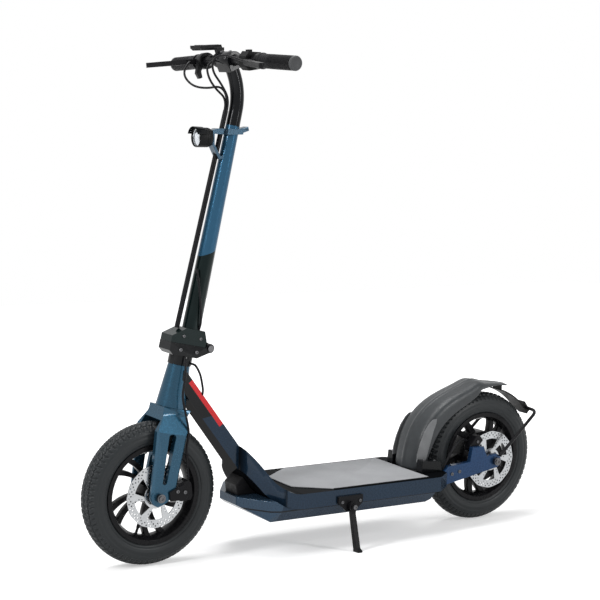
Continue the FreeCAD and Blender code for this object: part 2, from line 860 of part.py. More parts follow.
sk = sketch(bracket, "XY_Plane", lamp_v)
conduit_u = s.conduit_low - (lamp_v - conduit_foot) * tangent(s.conduit_lean)
circle(sk, conduit_u, 0, s.conduit_radius + 1.5)
pocket(bracket, sk)

LAMP = STEM * shift(s.lamp_reach, 0, lamp_v) * turn((0, 1, 0), s.rake + 90)
lens_seat = s.lamp_length - 6
turned("head_lamp", [
    (0, 0),
    (13, 0),
    (13, 3),
    (s.lamp_radius - 2, 6),
    (s.lamp_radius, 13),
    (s.lamp_radius, s.lamp_length),
    (s.lamp_radius - 2, s.lamp_length),
    (s.lamp_radius - 2, lens_seat),
    (0, lens_seat),
], LAMP)
turned("lamp_lens", [
    (0, lens_seat),
    (s.lamp_radius - 2, lens_seat),
    (s.lamp_radius - 2, lens_seat + 2),
    (0, lens_seat + 4),
], LAMP)

# Bar clamp on the end of the bend
HEAD = STEM * shift(end_u, 0, end_v) * turn((0, 1, 0), s.bend_angle)
clamp = plate("bar_clamp", "XZ_Plane", [
    (-s.stem_top_radius - 4, 0),
    (s.stem_top_radius + 4, 0),
    (s.stem_top_radius + 4, s.bar_reach, s.stem_top_radius + 4),
    (0, s.bar_reach + s.stem_top_radius + 4, s.stem_top_radius + 4),
    (-s.stem_top_radius - 4, s.bar_reach),
], s.head_half * 2, HEAD)
sk = sketch(clamp, "XZ_Plane")
circle(sk, 0, s.bar_reach, s.bar_radius)
pocket(clamp, sk)

# Handlebar: one half swept along its bend, then mirrored
middle = (HEAD * shift(0, 0, s.bar_reach)).Base
BAR = shift(middle.x, middle.y, middle.z) * turn((0, 1, 0), s.bar_roll)
bar = new_body("handlebar", BAR)
knee_x = s.bar_bend - s.bar_bend * cosine(s.bar_sweep)
knee_y = s.bar_middle + s.bar_bend * sine(s.bar_sweep)
tip_y = s.bar_half - s.grip_end
tip_x = knee_x + (tip_y - knee_y) * tangent(s.bar_sweep)
straight = (tip_y - knee_y) / cosine(s.bar_sweep)
sk = sketch(bar, "XZ_Plane")
circle(sk, 0, 0, s.bar_radius)
spine = sketch(bar, "XY_Plane")
spine.addGeometry(Part.LineSegment(V(0, 0, 0), V(0, number(s.bar_middle), 0)), False)
spine.addGeometry(arc_between(V(0, number(s.bar_middle), 0), V(number(knee_x), number(knee_y), 0),
                              -number(s.bar_bend), False), False)
spine.addGeometry(Part.LineSegment(V(number(knee_x), number(knee_y), 0),
                                   V(number(tip_x), number(tip_y), 0)), False)
spine.addConstraint(Sketcher.Constraint("Coincident", 0, 2, 1, 2))
spine.addConstraint(Sketcher.Constraint("Coincident", 1, 1, 2, 1))
pin_down(spine, 0, 1, 0, 0)
pin_down(spine, 0, 2, 0, s.bar_middle)
pin_down(spine, 2, 1, knee_x, knee_y)
pin_down(spine, 2, 2, tip_x, tip_y)
index = spine.addConstraint(Sketcher.Constraint("Radius", 1, number(s.bar_bend)))
spine.setExpression("Constraints[%d]" % index, s.bar_bend.text)
half_bar = bar.newObject("PartDesign::AdditivePipe", "handlebar_half")
half_bar.Profile = sk
half_bar.Spine = spine
other = bar.newObject("PartDesign::Mirrored", "handlebar_mirror")
other.Originals = [half_bar]
other.MirrorPlane = (plane(bar, "XZ_Plane"), [""])
bar.Tip = other


def bar_end(side, roll=0.0):
    """Frame on the straight bar end: local Z runs outward, roll turns it about the bar."""
    return (BAR * shift(knee_x, side * knee_y, 0) * turn((0, 0, 1), -side * s.bar_sweep)
            * turn((1, 0, 0), -side * 90) * turn((0, 0, 1), side * roll))


grip_start = straight + s.grip_end - s.grip_length
for side, name in ((1, "left"), (-1, "right")):
    turned("grip_" + name, [
        (s.bar_radius, grip_start),
        (s.grip_radius + 2, grip_start),
        (s.grip_radius + 2, grip_start + 5),
        (s.grip_radius, grip_start + 5),
        (s.grip_radius, straight + s.grip_end),
        (0, straight + s.grip_end),
        (0, straight),
        (s.bar_radius, straight),
    ], bar_end(side))
    # brake lever: clamp ring, perch and a tapering blade; local X points forward
    lever = new_body("brake_lever_" + name, bar_end(side, -141))
    sk = sketch(lever, "XY_Plane", grip_start - 16)
    circle(sk, 0, 0, s.bar_radius + 4.5)
    circle(sk, 0, 0, s.bar_radius)
    pad(lever, sk, 14, middle=False)
    sk = sketch(lever, "XZ_Plane")
    outline(sk, [
        (s.bar_radius + 2, grip_start - 16),
        (s.lever_reach - 4, grip_start - 12),
        (s.lever_reach + 4, grip_start - 4),
        (s.lever_reach + 26, grip_start + 54),
        (s.lever_tip + 6, grip_start + s.lever_length, 6.3),
        (s.lever_tip - 6, grip_start + s.lever_length),
        (s.lever_reach + 14, grip_start + 58),
        (s.lever_reach - 8, grip_start + 6),
        (s.bar_radius + 2, grip_start - 3),
    ])
    pad(lever, sk, 11)

# Controls on the bar, inboard of the levers; local X points forward
switch_start = grip_start - 57
switch = new_body("switch_block", bar_end(1, -141))
sk = sketch(switch, "XY_Plane", switch_start)
outline(sk, [(-18, -17), (12, -20), (21, -10), (21, 12), (12, 20), (-14, 18)])
pad(switch, sk, s.switch_width, middle=False)
sk = sketch(switch, "XY_Plane", switch_start)
circle(sk, 0, 0, s.bar_radius)
pocket(switch, sk, s.switch_width, back=True)
sk = sketch(switch, "XZ_Plane", 18)
circle(sk, 4, switch_start + s.switch_width / 2, 7)
pad(switch, sk, 5, middle=False)

# Thumb throttle: a ring with a trigger that hangs from its front
throttle_start = grip_start - 39
throttle = new_body("throttle", bar_end(-1, -141))
sk = sketch(throttle, "XY_Plane", throttle_start)
circle(sk, 0, 0, s.throttle_radius)
circle(sk, 0, 0, s.bar_radius)
pad(throttle, sk, 20, middle=False)
sk = sketch(throttle, "XY_Plane", throttle_start + 4)
outline(sk, [(12, -6), (20, -2), (26, -26), (20, -38), (13, -36), (15, -22), (8, -10)])
pad(throttle, sk, 12, middle=False)

# Display over the bar's right side, on an arm from a ring beside the bar clamp
DISPLAY = BAR * shift(0, -s.head_half - 5, 0) * turn((1, 0, 0), 90) * turn((0, 0, 1), 141)
display = new_body("display", DISPLAY)
sk = sketch(display, "XY_Plane", 0)
circle(sk, 0, 0, s.bar_radius + 5)
circle(sk, 0, 0, s.bar_radius)
pad(display, sk, 12, middle=False)
sk = sketch(display, "XY_Plane", 0)
outline(sk, [(-7, s.bar_radius + 3), (7, s.bar_radius + 3), (9, 23), (-9, 23)])
pad(display, sk, 12, middle=False)
sk = sketch(display, "XY_Plane", 0)
outline(sk, [(-9, 22), (9, 22), (9, 27), (-9, 27)])
pad(display, sk, 40, middle=False)
sk = sketch(display, "XY_Plane", 24)
outline(sk, [(-14, 22), (30, 22), (36, 27), (36, 33), (-16, 33), (-18, 27)])
pad(display, sk, s.display_width, middle=False)

# Brake hoses and the controls' cable, from the bar into the top of the conduit
TOP = CONDUIT * shift(0, 0, conduit_length)


def bar_point(side, ahead, along):
    point = (bar_end(side, -141) * shift(ahead, 0, along)).Base
    return (point.x, point.y, point.z)


def conduit_end(ahead, left):
    """The last two points of a hose: above the conduit's mouth, and in it."""
    above = (TOP * shift(ahead, left, 24)).Base
    mouth = (TOP * shift(ahead, left, 0)).Base
    return [(above.x, above.y, above.z), (mouth.x, mouth.y, mouth.z)]


perch = grip_start - 16
route("brake_hose_left", [
    bar_point(1, 31, perch),
    (310, 92, 1086),
    (322, 60, 1095),
    (334, 30, 1090),
    (328, 12, 1062),
    (301, 11, 1032),
] + conduit_end(-s.hose_spread / 2, s.hose_spread * 0.87), s.hose_radius, 40)
route("brake_hose_right", [
    bar_point(-1, 31, perch),
    (322, -104, 1080),
    (341, -92, 1052),
    (331, -66, 1028),
    (312, -36, 1024),
    (290, -10, 1031),
] + conduit_end(-s.hose_spread / 2, -s.hose_spread * 0.87), s.hose_radius, 40)
ring_point = (DISPLAY * shift(s.bar_radius + 5 + s.side_gap, 0, 6)).Base
route("control_cable", [
    (ring_point.x, ring_point.y, ring_point.z),
    (314, -36, 1074),
    (318, -20, 1048),
    (307, -7, 1024),
] + conduit_end(s.hose_spread, 0), s.hose_radius, 40)

# Frame, drawn upright in the vehicle's own axes: flat deck rails that bend up into the neck
slope = tangent(s.neck_angle)
half_turn = tangent(s.neck_angle / 2)
rail_low = s.deck_height - s.rail_depth
hull_bottom = rail_low - s.hull_depth
nose_top = s.deck_height - s.nose_drop
neck_z = s.deck_height + s.neck_rise


def neck_upper(x):
    return neck_z + slope * (x - s.neck_x)


def neck_lower(x):
    return neck_upper(x) - s.neck_depth / cosine(s.neck_angle)


def bend_points(level, line_offset, radius):
    """Start and end of the arc that joins the level face to the neck's sloping face."""
    corner = s.neck_x + (level - neck_z + line_offset) / slope
    reach = radius * half_turn
    start = (corner - reach, level)
    end = (corner + reach * cosine(s.neck_angle), level + reach * sine(s.neck_angle))
    return start, end


outer_bend = s.inner_bend + s.neck_depth
upper_start, upper_end = bend_points(s.deck_height, 0, s.inner_bend)
lower_start, lower_end = bend_points(rail_low, s.neck_depth / cosine(s.neck_angle), outer_bend)
head_x = s.steer_x - (crown_height + s.head_length / 2) * sine(s.rake)

frame = new_body("frame", UPRIGHT)
sk = sketch(frame, "XZ_Plane")
top_x = head_x - 12
outline(sk, [
    (-s.deck_rear, rail_low),
    lower_start + (outer_bend,),
    lower_end,
    (head_x + 6, neck_lower(head_x + 6)),
    (head_x + 6, neck_upper(top_x)),
    (top_x, neck_upper(top_x)),
    upper_end + (-s.inner_bend,),
    upper_start,
    (-s.deck_rear, s.deck_height),
])
pad(frame, sk, s.deck_half * 2)
shoulder_x = s.neck_x - 50
plan = [
    (head_x + 40, s.neck_half - 4),
    (s.neck_x + 22, s.neck_half, 60),
    (shoulder_x + 27, s.deck_half * 0.72, -50),
    (shoulder_x - 3, s.deck_half),
    (-s.deck_rear + 43, s.deck_half),
    (-s.deck_rear, s.deck_half * 0.72),
    (-s.deck_rear, s.blade_inner),
    (-s.deck_rear + 22, s.blade_inner),
]


def mirror_plan(points):
    """The plan outline completed by its mirror image, with arcs kept."""
    full = list(points)
    count = len(points)
    for i in range(count - 1, -1, -1):
        x, y = points[i][0], points[i][1]
        before = points[i - 1] if i > 0 else None
        if before is not None and len(before) > 2:
            full.append((x, -y, before[2]))
        else:
            full.append((x, -y))
    return full


trim(frame, "XY_Plane", mirror_plan(plan))


def steering_sketch(body):
    """A sketch in the middle plane whose vertical axis is the steering axis."""
    sk = sketch(body, "XZ_Plane", 0.0, FreeCAD.Rotation(V(0, 0, 1), number(s.rake)))
    sk.AttachmentOffset = FreeCAD.Placement(V(number(s.steer_x), 0, 0), sk.AttachmentOffset.Rotation)
    sk.setExpression("AttachmentOffset.Base.x", s.steer_x.text)
    sk.setExpression("AttachmentOffset.Rotation.Angle", s.rake.text)
    return sk


# the neck's end is cut to seat on the tapered head tube
sk = steering_sketch(frame)
taper = (s.crown_radius - s.head_top_radius) / s.head_length
outline(sk, [
    (0, head_low - 60),
    (s.crown_radius + 60 * taper, head_low - 60),
    (s.head_top_radius - 20 * taper, head_high + 20),
    (0, head_high + 20),
])
groove(frame, sk)
sk = steering_sketch(frame)
outline(sk, [(-80, head_high), (80, head_high), (80, head_high + 90), (-80, head_high + 90)])
pocket(frame, sk)
# nothing of the neck stays in front of the head tube
sk = steering_sketch(frame)
outline(sk, [(0, head_low - 60), (90, head_low - 60), (90, head_high + 90), (0, head_high + 90)])
pocket(frame, sk)
# the rails are open underneath, round the battery
bay_front = upper_start[0] - 12
bay_rear = bay_front - s.battery_length - 12
bay_half = s.deck_half - s.wall * 3
sk = sketch(frame, "XY_Plane", rail_low)
outline(sk, [
    (bay_rear, -bay_half),
    (bay_front, -bay_half),
    (bay_front, bay_half),
    (bay_rear, bay_half),
])
pocket(frame, sk, s.rail_depth - s.wall, back=True)

# Lower hull: a tray under the rails, with the nose in front of the neck
arc_rise = nose_top - rail_low - outer_bend
nose_back = lower_start[0] + root(outer_bend * outer_bend - arc_rise * arc_rise)
hull_half = s.deck_half - 4
hull = plate("deck_hull", "XZ_Plane", [
    (-s.deck_rear + 60, hull_bottom + 6),
    (-s.deck_rear + 72, hull_bottom),
    (s.nose_x - 52, hull_bottom),
    (s.nose_x, nose_top - 18),
    (s.nose_x, nose_top),
    (nose_back, nose_top, -outer_bend),
    lower_start,
    (-s.deck_rear + 54, rail_low),
], s.deck_half * 2)
trim(hull, "XY_Plane", mirror_plan([
    (s.nose_x, s.nose_half),
    (s.nose_x - 48, hull_half - 10),
    (s.nose_x - 68, hull_half),
    (-s.deck_rear + 40, hull_half),
]))
trim(hull, "YZ_Plane", [
    (-hull_half, nose_top + 50),
    (-hull_half, rail_low - 2),
    (-hull_half + s.side_slope, hull_bottom - 1),
    (hull_half - s.side_slope, hull_bottom - 1),
    (hull_half, rail_low - 2),
    (hull_half, nose_top + 50),
])
sk = sketch(hull, "XY_Plane", hull_bottom + s.hull_wall)
tray_half = hull_half - s.side_slope - s.hull_wall
tray_rear = bay_rear + 6
outline(sk, [
    (tray_rear, -tray_half),
    (bay_front, -tray_half),
    (bay_front, tray_half),
    (tray_rear, tray_half),
])
pocket(hull, sk, 200, back=True)

# Battery: one plain block on the hull's floor
battery = new_body("battery")
sk = sketch(battery, "XY_Plane", hull_bottom + s.hull_wall)
cell_rear = bay_front - 6 - s.battery_length
outline(sk, [
    (cell_rear, -s.battery_half),
    (bay_front - 6, -s.battery_half),
    (bay_front - 6, s.battery_half),
    (cell_rear, s.battery_half),
])
battery_high = s.deck_height - s.wall - hull_bottom - s.hull_wall - 3
pad(battery, sk, battery_high, middle=False)

# Grip mat on the deck, from the neck to the rear fender's foot
fender_foot = -s.deck_rear + s.fender_start
mat_half = s.deck_half - 7
mat = new_body("grip_mat")
sk = sketch(mat, "XY_Plane", s.deck_height)
outline(sk, mirror_plan([
    (upper_start[0] - 10, mat_half * 0.45),
    (s.mat_front, mat_half),
    (fender_foot + s.mat_gap, mat_half),
]))
pad(mat, sk, s.mat_thick, middle=False)

# Rubber boot between the neck's lower face and the nose
plate("neck_boot", "XZ_Plane", [
    (nose_back, nose_top, outer_bend),
    lower_end,
    (s.neck_x + 6, neck_lower(s.neck_x + 6)),
    (s.nose_x - 5, nose_top + 24),
    (s.nose_x - 9, nose_top),
], s.neck_half * 2 - 8)

# Rear arms, butted on the rails' ends; the left one carries the brake's lug
rear_x = -s.wheelbase / 2
arm_base = -s.deck_rear
arm_middle = s.arm_inner + s.arm_thick / 2
boss = s.boss_radius
for side, name in ((1, "left"), (-1, "right")):
    top = [(arm_base - 54, rail_low + 47)]
    if side > 0:
        top = [
            (arm_base - 76, rail_low + 50),
            (arm_base - 82, rail_low + 84),
            (arm_base - 116, rail_low + 84),
            (arm_base - 128, rail_low + 58),
        ]
    arm = plate("rear_arm_" + name, "XZ_Plane", [
        (arm_base, rail_low),
        (arm_base, s.deck_height),
        (arm_base - 10, s.deck_height + 11),
    ] + top + [
        (rear_x, s.tyre_radius + boss, boss),
        (rear_x - boss, s.tyre_radius, boss),
        (rear_x, s.tyre_radius - boss),
    ], s.arm_thick, shift(0, arm_middle * side, 0))
    sk = sketch(arm, "XZ_Plane")
    circle(sk, rear_x, s.tyre_radius, s.axle_radius)
    pocket(arm, sk)


def lateral(body, points, low, high):
    """Pad a side outline from one distance left of the middle plane to another."""
    sk = sketch(body, "XZ_Plane", -low)
    outline(sk, points)
    return pad(body, sk, high - low, middle=False, back=True)


# Brake calipers: local X points from the axle to the caliper
def caliper(label, axle_x, angle, low, high, disc, inner, mount):
    at = shift(axle_x, 0, s.tyre_radius) * turn((0, 1, 0), -angle)
    body = new_body(label, at)
    far = s.rotor_radius + 9
    lateral(body, [
        (inner, -20),
        (far - 6, -22),
        (far, -14),
        (far, 14),
        (far - 6, 22),
        (inner, 20),
    ], low, high)
    if mount:
        lateral(body, mount, high, high + 5)
    sk = sketch(body, "XZ_Plane", -(disc - 2.5))
    outline(sk, [(inner - 5, -40), (s.rotor_radius + 3, -40), (s.rotor_radius + 3, 40), (inner - 5, 40)])
    pocket(body, sk, 5, back=False)
    return body


caliper("front_caliper", s.wheelbase / 2, 172, s.hub_half - 14, blade_outer, s.hub_half + 1, 48, [
    (22, -8),
    (60, -18),
    (66, -10),
    (66, 10),
    (60, 18),
    (22, 12),
])
caliper("rear_caliper", -s.wheelbase / 2, 40, s.motor_half - 4, s.arm_inner, s.motor_half + 11, 57, None)

# Rear fender: arched skin with side skirts, standing on the deck
fender = plate("rear_fender", "XZ_Plane", [
    (fender_foot, s.deck_height, 234),
    (fender_foot - 50, s.deck_height + 136, 155),
    (fender_foot - 126, s.deck_height + 175, -201),
    (fender_foot - 188, s.deck_height + 206, 25),
    (fender_foot - 206, s.deck_height + 201),
    (fender_foot - 218, s.deck_height + 193),
    (fender_foot - 304, s.deck_height + 185),
    (fender_foot - 300, s.deck_height + 180),
    (fender_foot - 214, s.deck_height + 178),
    (fender_foot - 76, s.deck_height + 112, -130),
    (fender_foot - 34, s.deck_height + 34),
    (fender_foot - 34, s.deck_height),
], s.fender_half * 2)
skin = s.fender_skin
sk = sketch(fender, "XZ_Plane")
outline(sk, [
    (fender_foot - skin, s.deck_height - 10),
    (fender_foot - skin, s.deck_height, 229),
    (fender_foot - 50 - skin * 0.74, s.deck_height + 136 - skin * 0.68, 150),
    (fender_foot - 126 - skin * 0.2, s.deck_height + 175 - skin, -206),
    (fender_foot - 188 - skin * 0.45, s.deck_height + 206 - skin * 0.9),
    (fender_foot - 204, s.deck_height + 201 - skin),
    (fender_foot - 217, s.deck_height + 193 - skin),
    (fender_foot - 340, s.deck_height + 182 - skin),
    (fender_foot - 340, s.deck_height - 10),
])
cut = pocket(fender, sk, s.fender_half * 2 - 8)
cut.SideType = "Symmetric"
trim(fender, "XY_Plane", mirror_plan([
    (fender_foot + 20, s.fender_half),
    (fender_foot - 220, s.fender_half),
    (fender_foot - 290, 26),
    (fender_foot - 304, 12),
]))
# Both feet are one node, and so are the side panels
feet = new_body("fender_feet")
feet.AllowCompound = True
panels = new_body("fender_panels")
panels.AllowCompound = True
for side in (1, -1):
    for body, width, points in (
        (feet, 22, [
            (fender_foot - 4, s.deck_height),
            (fender_foot - 6, s.deck_height + 30),
            (fender_foot - 60, s.deck_height + 24),
            (fender_foot - 66, s.deck_height),
        ]),
        (panels, s.panel_thick, [
            (fender_foot - 6, s.deck_height + 32),
            (fender_foot - 10, s.deck_height + 54),
            (fender_foot - 36, s.deck_height + 114),
            (fender_foot - 57, s.deck_height + 116),
            (fender_foot - 44, s.deck_height + 79),
            (fender_foot - 30, s.deck_height + 32),
        ]),
    ):
        sk = sketch(body, "XZ_Plane", -s.fender_half * side)
        outline(sk, points)
        pad(body, sk, width, middle=False, back=side > 0)

# Hugger strip behind the wheel, its end block and two bent stays
HUG = shift(-s.wheelbase / 2, 0, s.tyre_radius)
strip = new_body("rear_hugger", HUG)
sk = sketch(strip, "XZ_Plane")
hug_in = s.hugger_radius
hug_out = s.hugger_radius + 3
a = polar_point(hug_in, 108)
b = polar_point(hug_in, 144)
c = polar_point(hug_out, 144)
d = polar_point(hug_out, 108)
outline(sk, [a + (hug_in,), b, c + (-hug_out,), d])
pad(strip, sk, s.tyre_half * 2 - 10)
# a tab reaches up to the fender's tail
tab_rear = polar_point(hug_out - 1, 112)
tab_front = polar_point(hug_out - 1, 108)
tail_fall = 11 / 123
tail_under = s.deck_height + 193 - skin - s.tyre_radius - 0.3
tail_start = fender_foot - 217 + s.wheelbase / 2
sk = sketch(strip, "XZ_Plane")
outline(sk, [
    tab_rear,
    tab_front,
    (tab_front[0], tail_under + (tab_front[0] - tail_start) * tail_fall),
    (tab_rear[0], tail_under + (tab_rear[0] - tail_start) * tail_fall),
])
pad(strip, sk, 22)
tail = plate("tail_block", "XZ_Plane", [
    polar_point(hug_out, 136) + (hug_out,),
    polar_point(hug_out, 147),
    polar_point(hug_out + 14, 146),
    polar_point(hug_out + 14, 137),
], s.tail_half * 2, HUG)
stay_y = arm_outer + s.stay_radius + 0.2
for side, name in ((1, "left"), (-1, "right")):
    route("hugger_stay_" + name, [
        (rear_x - 9, side * stay_y, s.tyre_radius + 13),
        (rear_x - 70, side * stay_y, s.tyre_radius + 69),
        (rear_x - 136, side * 60, s.tyre_radius + 109),
        (rear_x - 139, side * (s.tail_half + 0.8), s.tyre_radius + 110.5),
    ], s.stay_radius, 24)

# Side stand: bracket with its pin, and the leg whose foot meets the ground
ground_lift = s.tyre_half * (1 - cosine(s.lean)) / cosine(s.lean)


def ground(y):
    """Height of the ground at a distance left of the middle, before leaning."""
    return y * tangent(s.lean) - ground_lift


stand_z = s.deck_height - s.stand_drop
pin_in = s.stand_y - s.stand_half - s.side_gap
bracket = new_body("stand_bracket")
lateral(bracket, [
    (s.stand_x - 32, stand_z + 6),
    (s.stand_x - 14, stand_z - 12),
    (s.stand_x + 12, stand_z - 12),
    (s.stand_x + 34, stand_z + 8),
    (s.stand_x + 34, stand_z + 23),
    (s.stand_x - 32, stand_z + 23),
], s.deck_half, pin_in)
sk = sketch(bracket, "XZ_Plane", -pin_in)
circle(sk, s.stand_x, stand_z, s.stand_pin)
pad(bracket, sk, (s.stand_half + s.side_gap) * 2, middle=False, back=True)
sk = sketch(bracket, "XZ_Plane", -(s.stand_y + s.stand_half + s.side_gap))
circle(sk, s.stand_x, stand_z, s.stand_pin + 3)
pad(bracket, sk, 4, middle=False, back=True)

stand = new_body("side_stand", shift(s.stand_x, 0, stand_z))
leg_y = s.stand_y
foot_y = s.stand_y + s.stand_out
sk = sketch(stand, "XZ_Plane", -(s.stand_y - s.stand_half))
circle(sk, 0, 0, s.stand_pin + 5)
pad(stand, sk, s.stand_half * 2, middle=False, back=True)
sk = sketch(stand, "YZ_Plane")
outline(sk, [
    (leg_y - s.stand_half, -3),
    (leg_y - s.stand_half, -16),
    (foot_y - 9, ground(foot_y - 9) - stand_z + 6),
    (foot_y - 9, ground(foot_y - 9) - stand_z),
    (foot_y + 12, ground(foot_y + 12) - stand_z),
    (foot_y + 12, ground(foot_y + 12) - stand_z + 4),
    (foot_y + 3, ground(foot_y + 3) - stand_z + 9),
    (leg_y + s.stand_half, -16),
    (leg_y + s.stand_half, -3),
])
pad(stand, sk, 12)
sk = sketch(stand, "XZ_Plane")
circle(sk, 0, 0, s.stand_pin + s.fit_gap)
pocket(stand, sk)

# Check and write
doc.recompute()
problems = []
for obj in doc.Objects:
    if "Invalid" in obj.State or "Error" in obj.State:
        problems.append("%s: %s" % (obj.Name, obj.State))
for label, (obj, at) in PARTS.items():
    if obj.Shape.isNull() or not obj.Shape.isValid():
        problems.append("%s has no valid shape" % label)
if problems:
    raise RuntimeError("\n".join(problems))

# Seat every piece: upright, leaned onto the stand, then centred over its own footprint
for label, (obj, at) in PARTS.items():
    obj.Placement = LEAN * at
doc.recompute()
whole = FreeCAD.BoundBox()
for label, (obj, at) in PARTS.items():
    whole.add(obj.Shape.optimalBoundingBox(False, False))
CENTRE = shift(-whole.Center.x, -whole.Center.y, 0)
for label, (obj, at) in PARTS.items():
    obj.Placement = CENTRE * LEAN * at
doc.recompute()

os.makedirs("parts", exist_ok=True)
for label, (obj, at) in PARTS.items():
    obj.Shape.exportStep("parts/%s.step" % label)
    box = obj.Shape.BoundBox
    print(label, len(obj.Shape.Solids), round(obj.Shape.Volume / 1000, 1),
          [round(v) for v in (box.XMin, box.XMax, box.YMin, box.YMax, box.ZMin, box.ZMax)])

# The joints' axes in the finished position
JOINTS = [
    ("steering", STEER * shift(0, 0, head_low), V(0, 0, 1)),
    ("stem_fold", HINGE, V(0, 0, -1)),
    ("front_wheel_spin", FRONT, V(0, 0, 1)),
    ("rear_wheel_spin", REAR, V(0, 0, 1)),
    ("side_stand_fold", shift(s.stand_x, s.stand_y, stand_z) * AXLE, V(0, 0, 1)),
]
JOINTS.append(("bar_mount", BAR * shift(0, s.head_half + 13, 0), V(0, 1, 0)))
for name, at, axis in JOINTS:
    place = CENTRE * LEAN * at
    way = place.Rotation.multVec(axis)
    print("joint", name, [round(c, 4) for c in place.Base], [round(c, 6) for c in way])
print("shift", [round(c, 4) for c in CENTRE.Base], "lift", round(lift, 4))
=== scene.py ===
import json
import math

import bmesh
import bpy
import numpy as np
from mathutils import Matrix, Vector
from mathutils.bvhtree import BVHTree

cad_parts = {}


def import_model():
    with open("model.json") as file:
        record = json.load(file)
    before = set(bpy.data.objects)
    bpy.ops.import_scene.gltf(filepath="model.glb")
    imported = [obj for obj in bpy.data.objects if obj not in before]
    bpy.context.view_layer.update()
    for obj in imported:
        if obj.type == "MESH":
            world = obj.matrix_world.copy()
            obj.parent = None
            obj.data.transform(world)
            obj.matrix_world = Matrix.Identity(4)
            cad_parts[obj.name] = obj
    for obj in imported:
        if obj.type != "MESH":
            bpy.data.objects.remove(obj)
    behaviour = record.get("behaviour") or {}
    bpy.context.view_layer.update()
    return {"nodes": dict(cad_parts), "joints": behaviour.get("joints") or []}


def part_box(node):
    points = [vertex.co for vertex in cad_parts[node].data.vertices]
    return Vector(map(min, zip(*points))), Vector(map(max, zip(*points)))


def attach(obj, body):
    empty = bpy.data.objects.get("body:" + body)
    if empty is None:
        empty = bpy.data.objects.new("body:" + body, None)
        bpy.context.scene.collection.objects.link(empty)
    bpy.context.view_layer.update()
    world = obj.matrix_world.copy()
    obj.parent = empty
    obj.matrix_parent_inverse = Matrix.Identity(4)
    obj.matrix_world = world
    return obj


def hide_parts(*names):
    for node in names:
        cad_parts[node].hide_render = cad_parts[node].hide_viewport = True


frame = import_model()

JOINT = {j["name"]: j for j in frame["joints"]}
NODE = frame["nodes"]
MM = 0.001

# Places: the vehicle's own upright axes, leaned as it stands, in millimetres

front_axle = Vector(JOINT["front_wheel_spin"]["pos_m"])
rear_axle = Vector(JOINT["rear_wheel_spin"]["pos_m"])
AHEAD = Vector((1, 0, 0))
LEFT = Vector(JOINT["front_wheel_spin"]["axis"]).normalized()
UP = AHEAD.cross(LEFT).normalized()
DOWN = -UP
HALF_BASE = (front_axle - rear_axle).length / 2 / MM
TYRE_RADIUS = 157
STEER_AT = Vector(JOINT["steering"]["pos_m"])
STEER_UP = Vector(JOINT["steering"]["axis"]).normalized()
STEER_AHEAD = LEFT.cross(STEER_UP).normalized()
HEAD_LOW = 349.6
middle = (front_axle + rear_axle) / 2 - UP * TYRE_RADIUS * MM


def at(x, y, z):
    """A point given in the upright axes, in millimetres, in the row frame."""
    return middle + (AHEAD * x + LEFT * y + UP * z) * MM


def on_steer(u, y, v):
    """A point ahead of, left of and along the steering axis."""
    return STEER_AT + (STEER_AHEAD * u + LEFT * y + STEER_UP * (v - HEAD_LOW)) * MM


BAR_AT = at(280.3, 0, 1085.6)


def axis_of(node):
    """Start, end and direction of a round node's long axis, from the bar's middle outward."""
    points = np.array([v.co for v in NODE[node].data.vertices])
    centre = (points.min(0) + points.max(0)) / 2
    spread = points - points.mean(0)
    way = Vector(np.linalg.svd(spread, full_matrices=False)[2][0])
    if way.dot(Vector(centre) - BAR_AT) < 0:
        way = -way
    reach = (points - centre) @ np.array(way)
    return Vector(centre) + way * reach.min(), Vector(centre) + way * reach.max(), way


# Materials

EDGE_BLUR = 0.0004


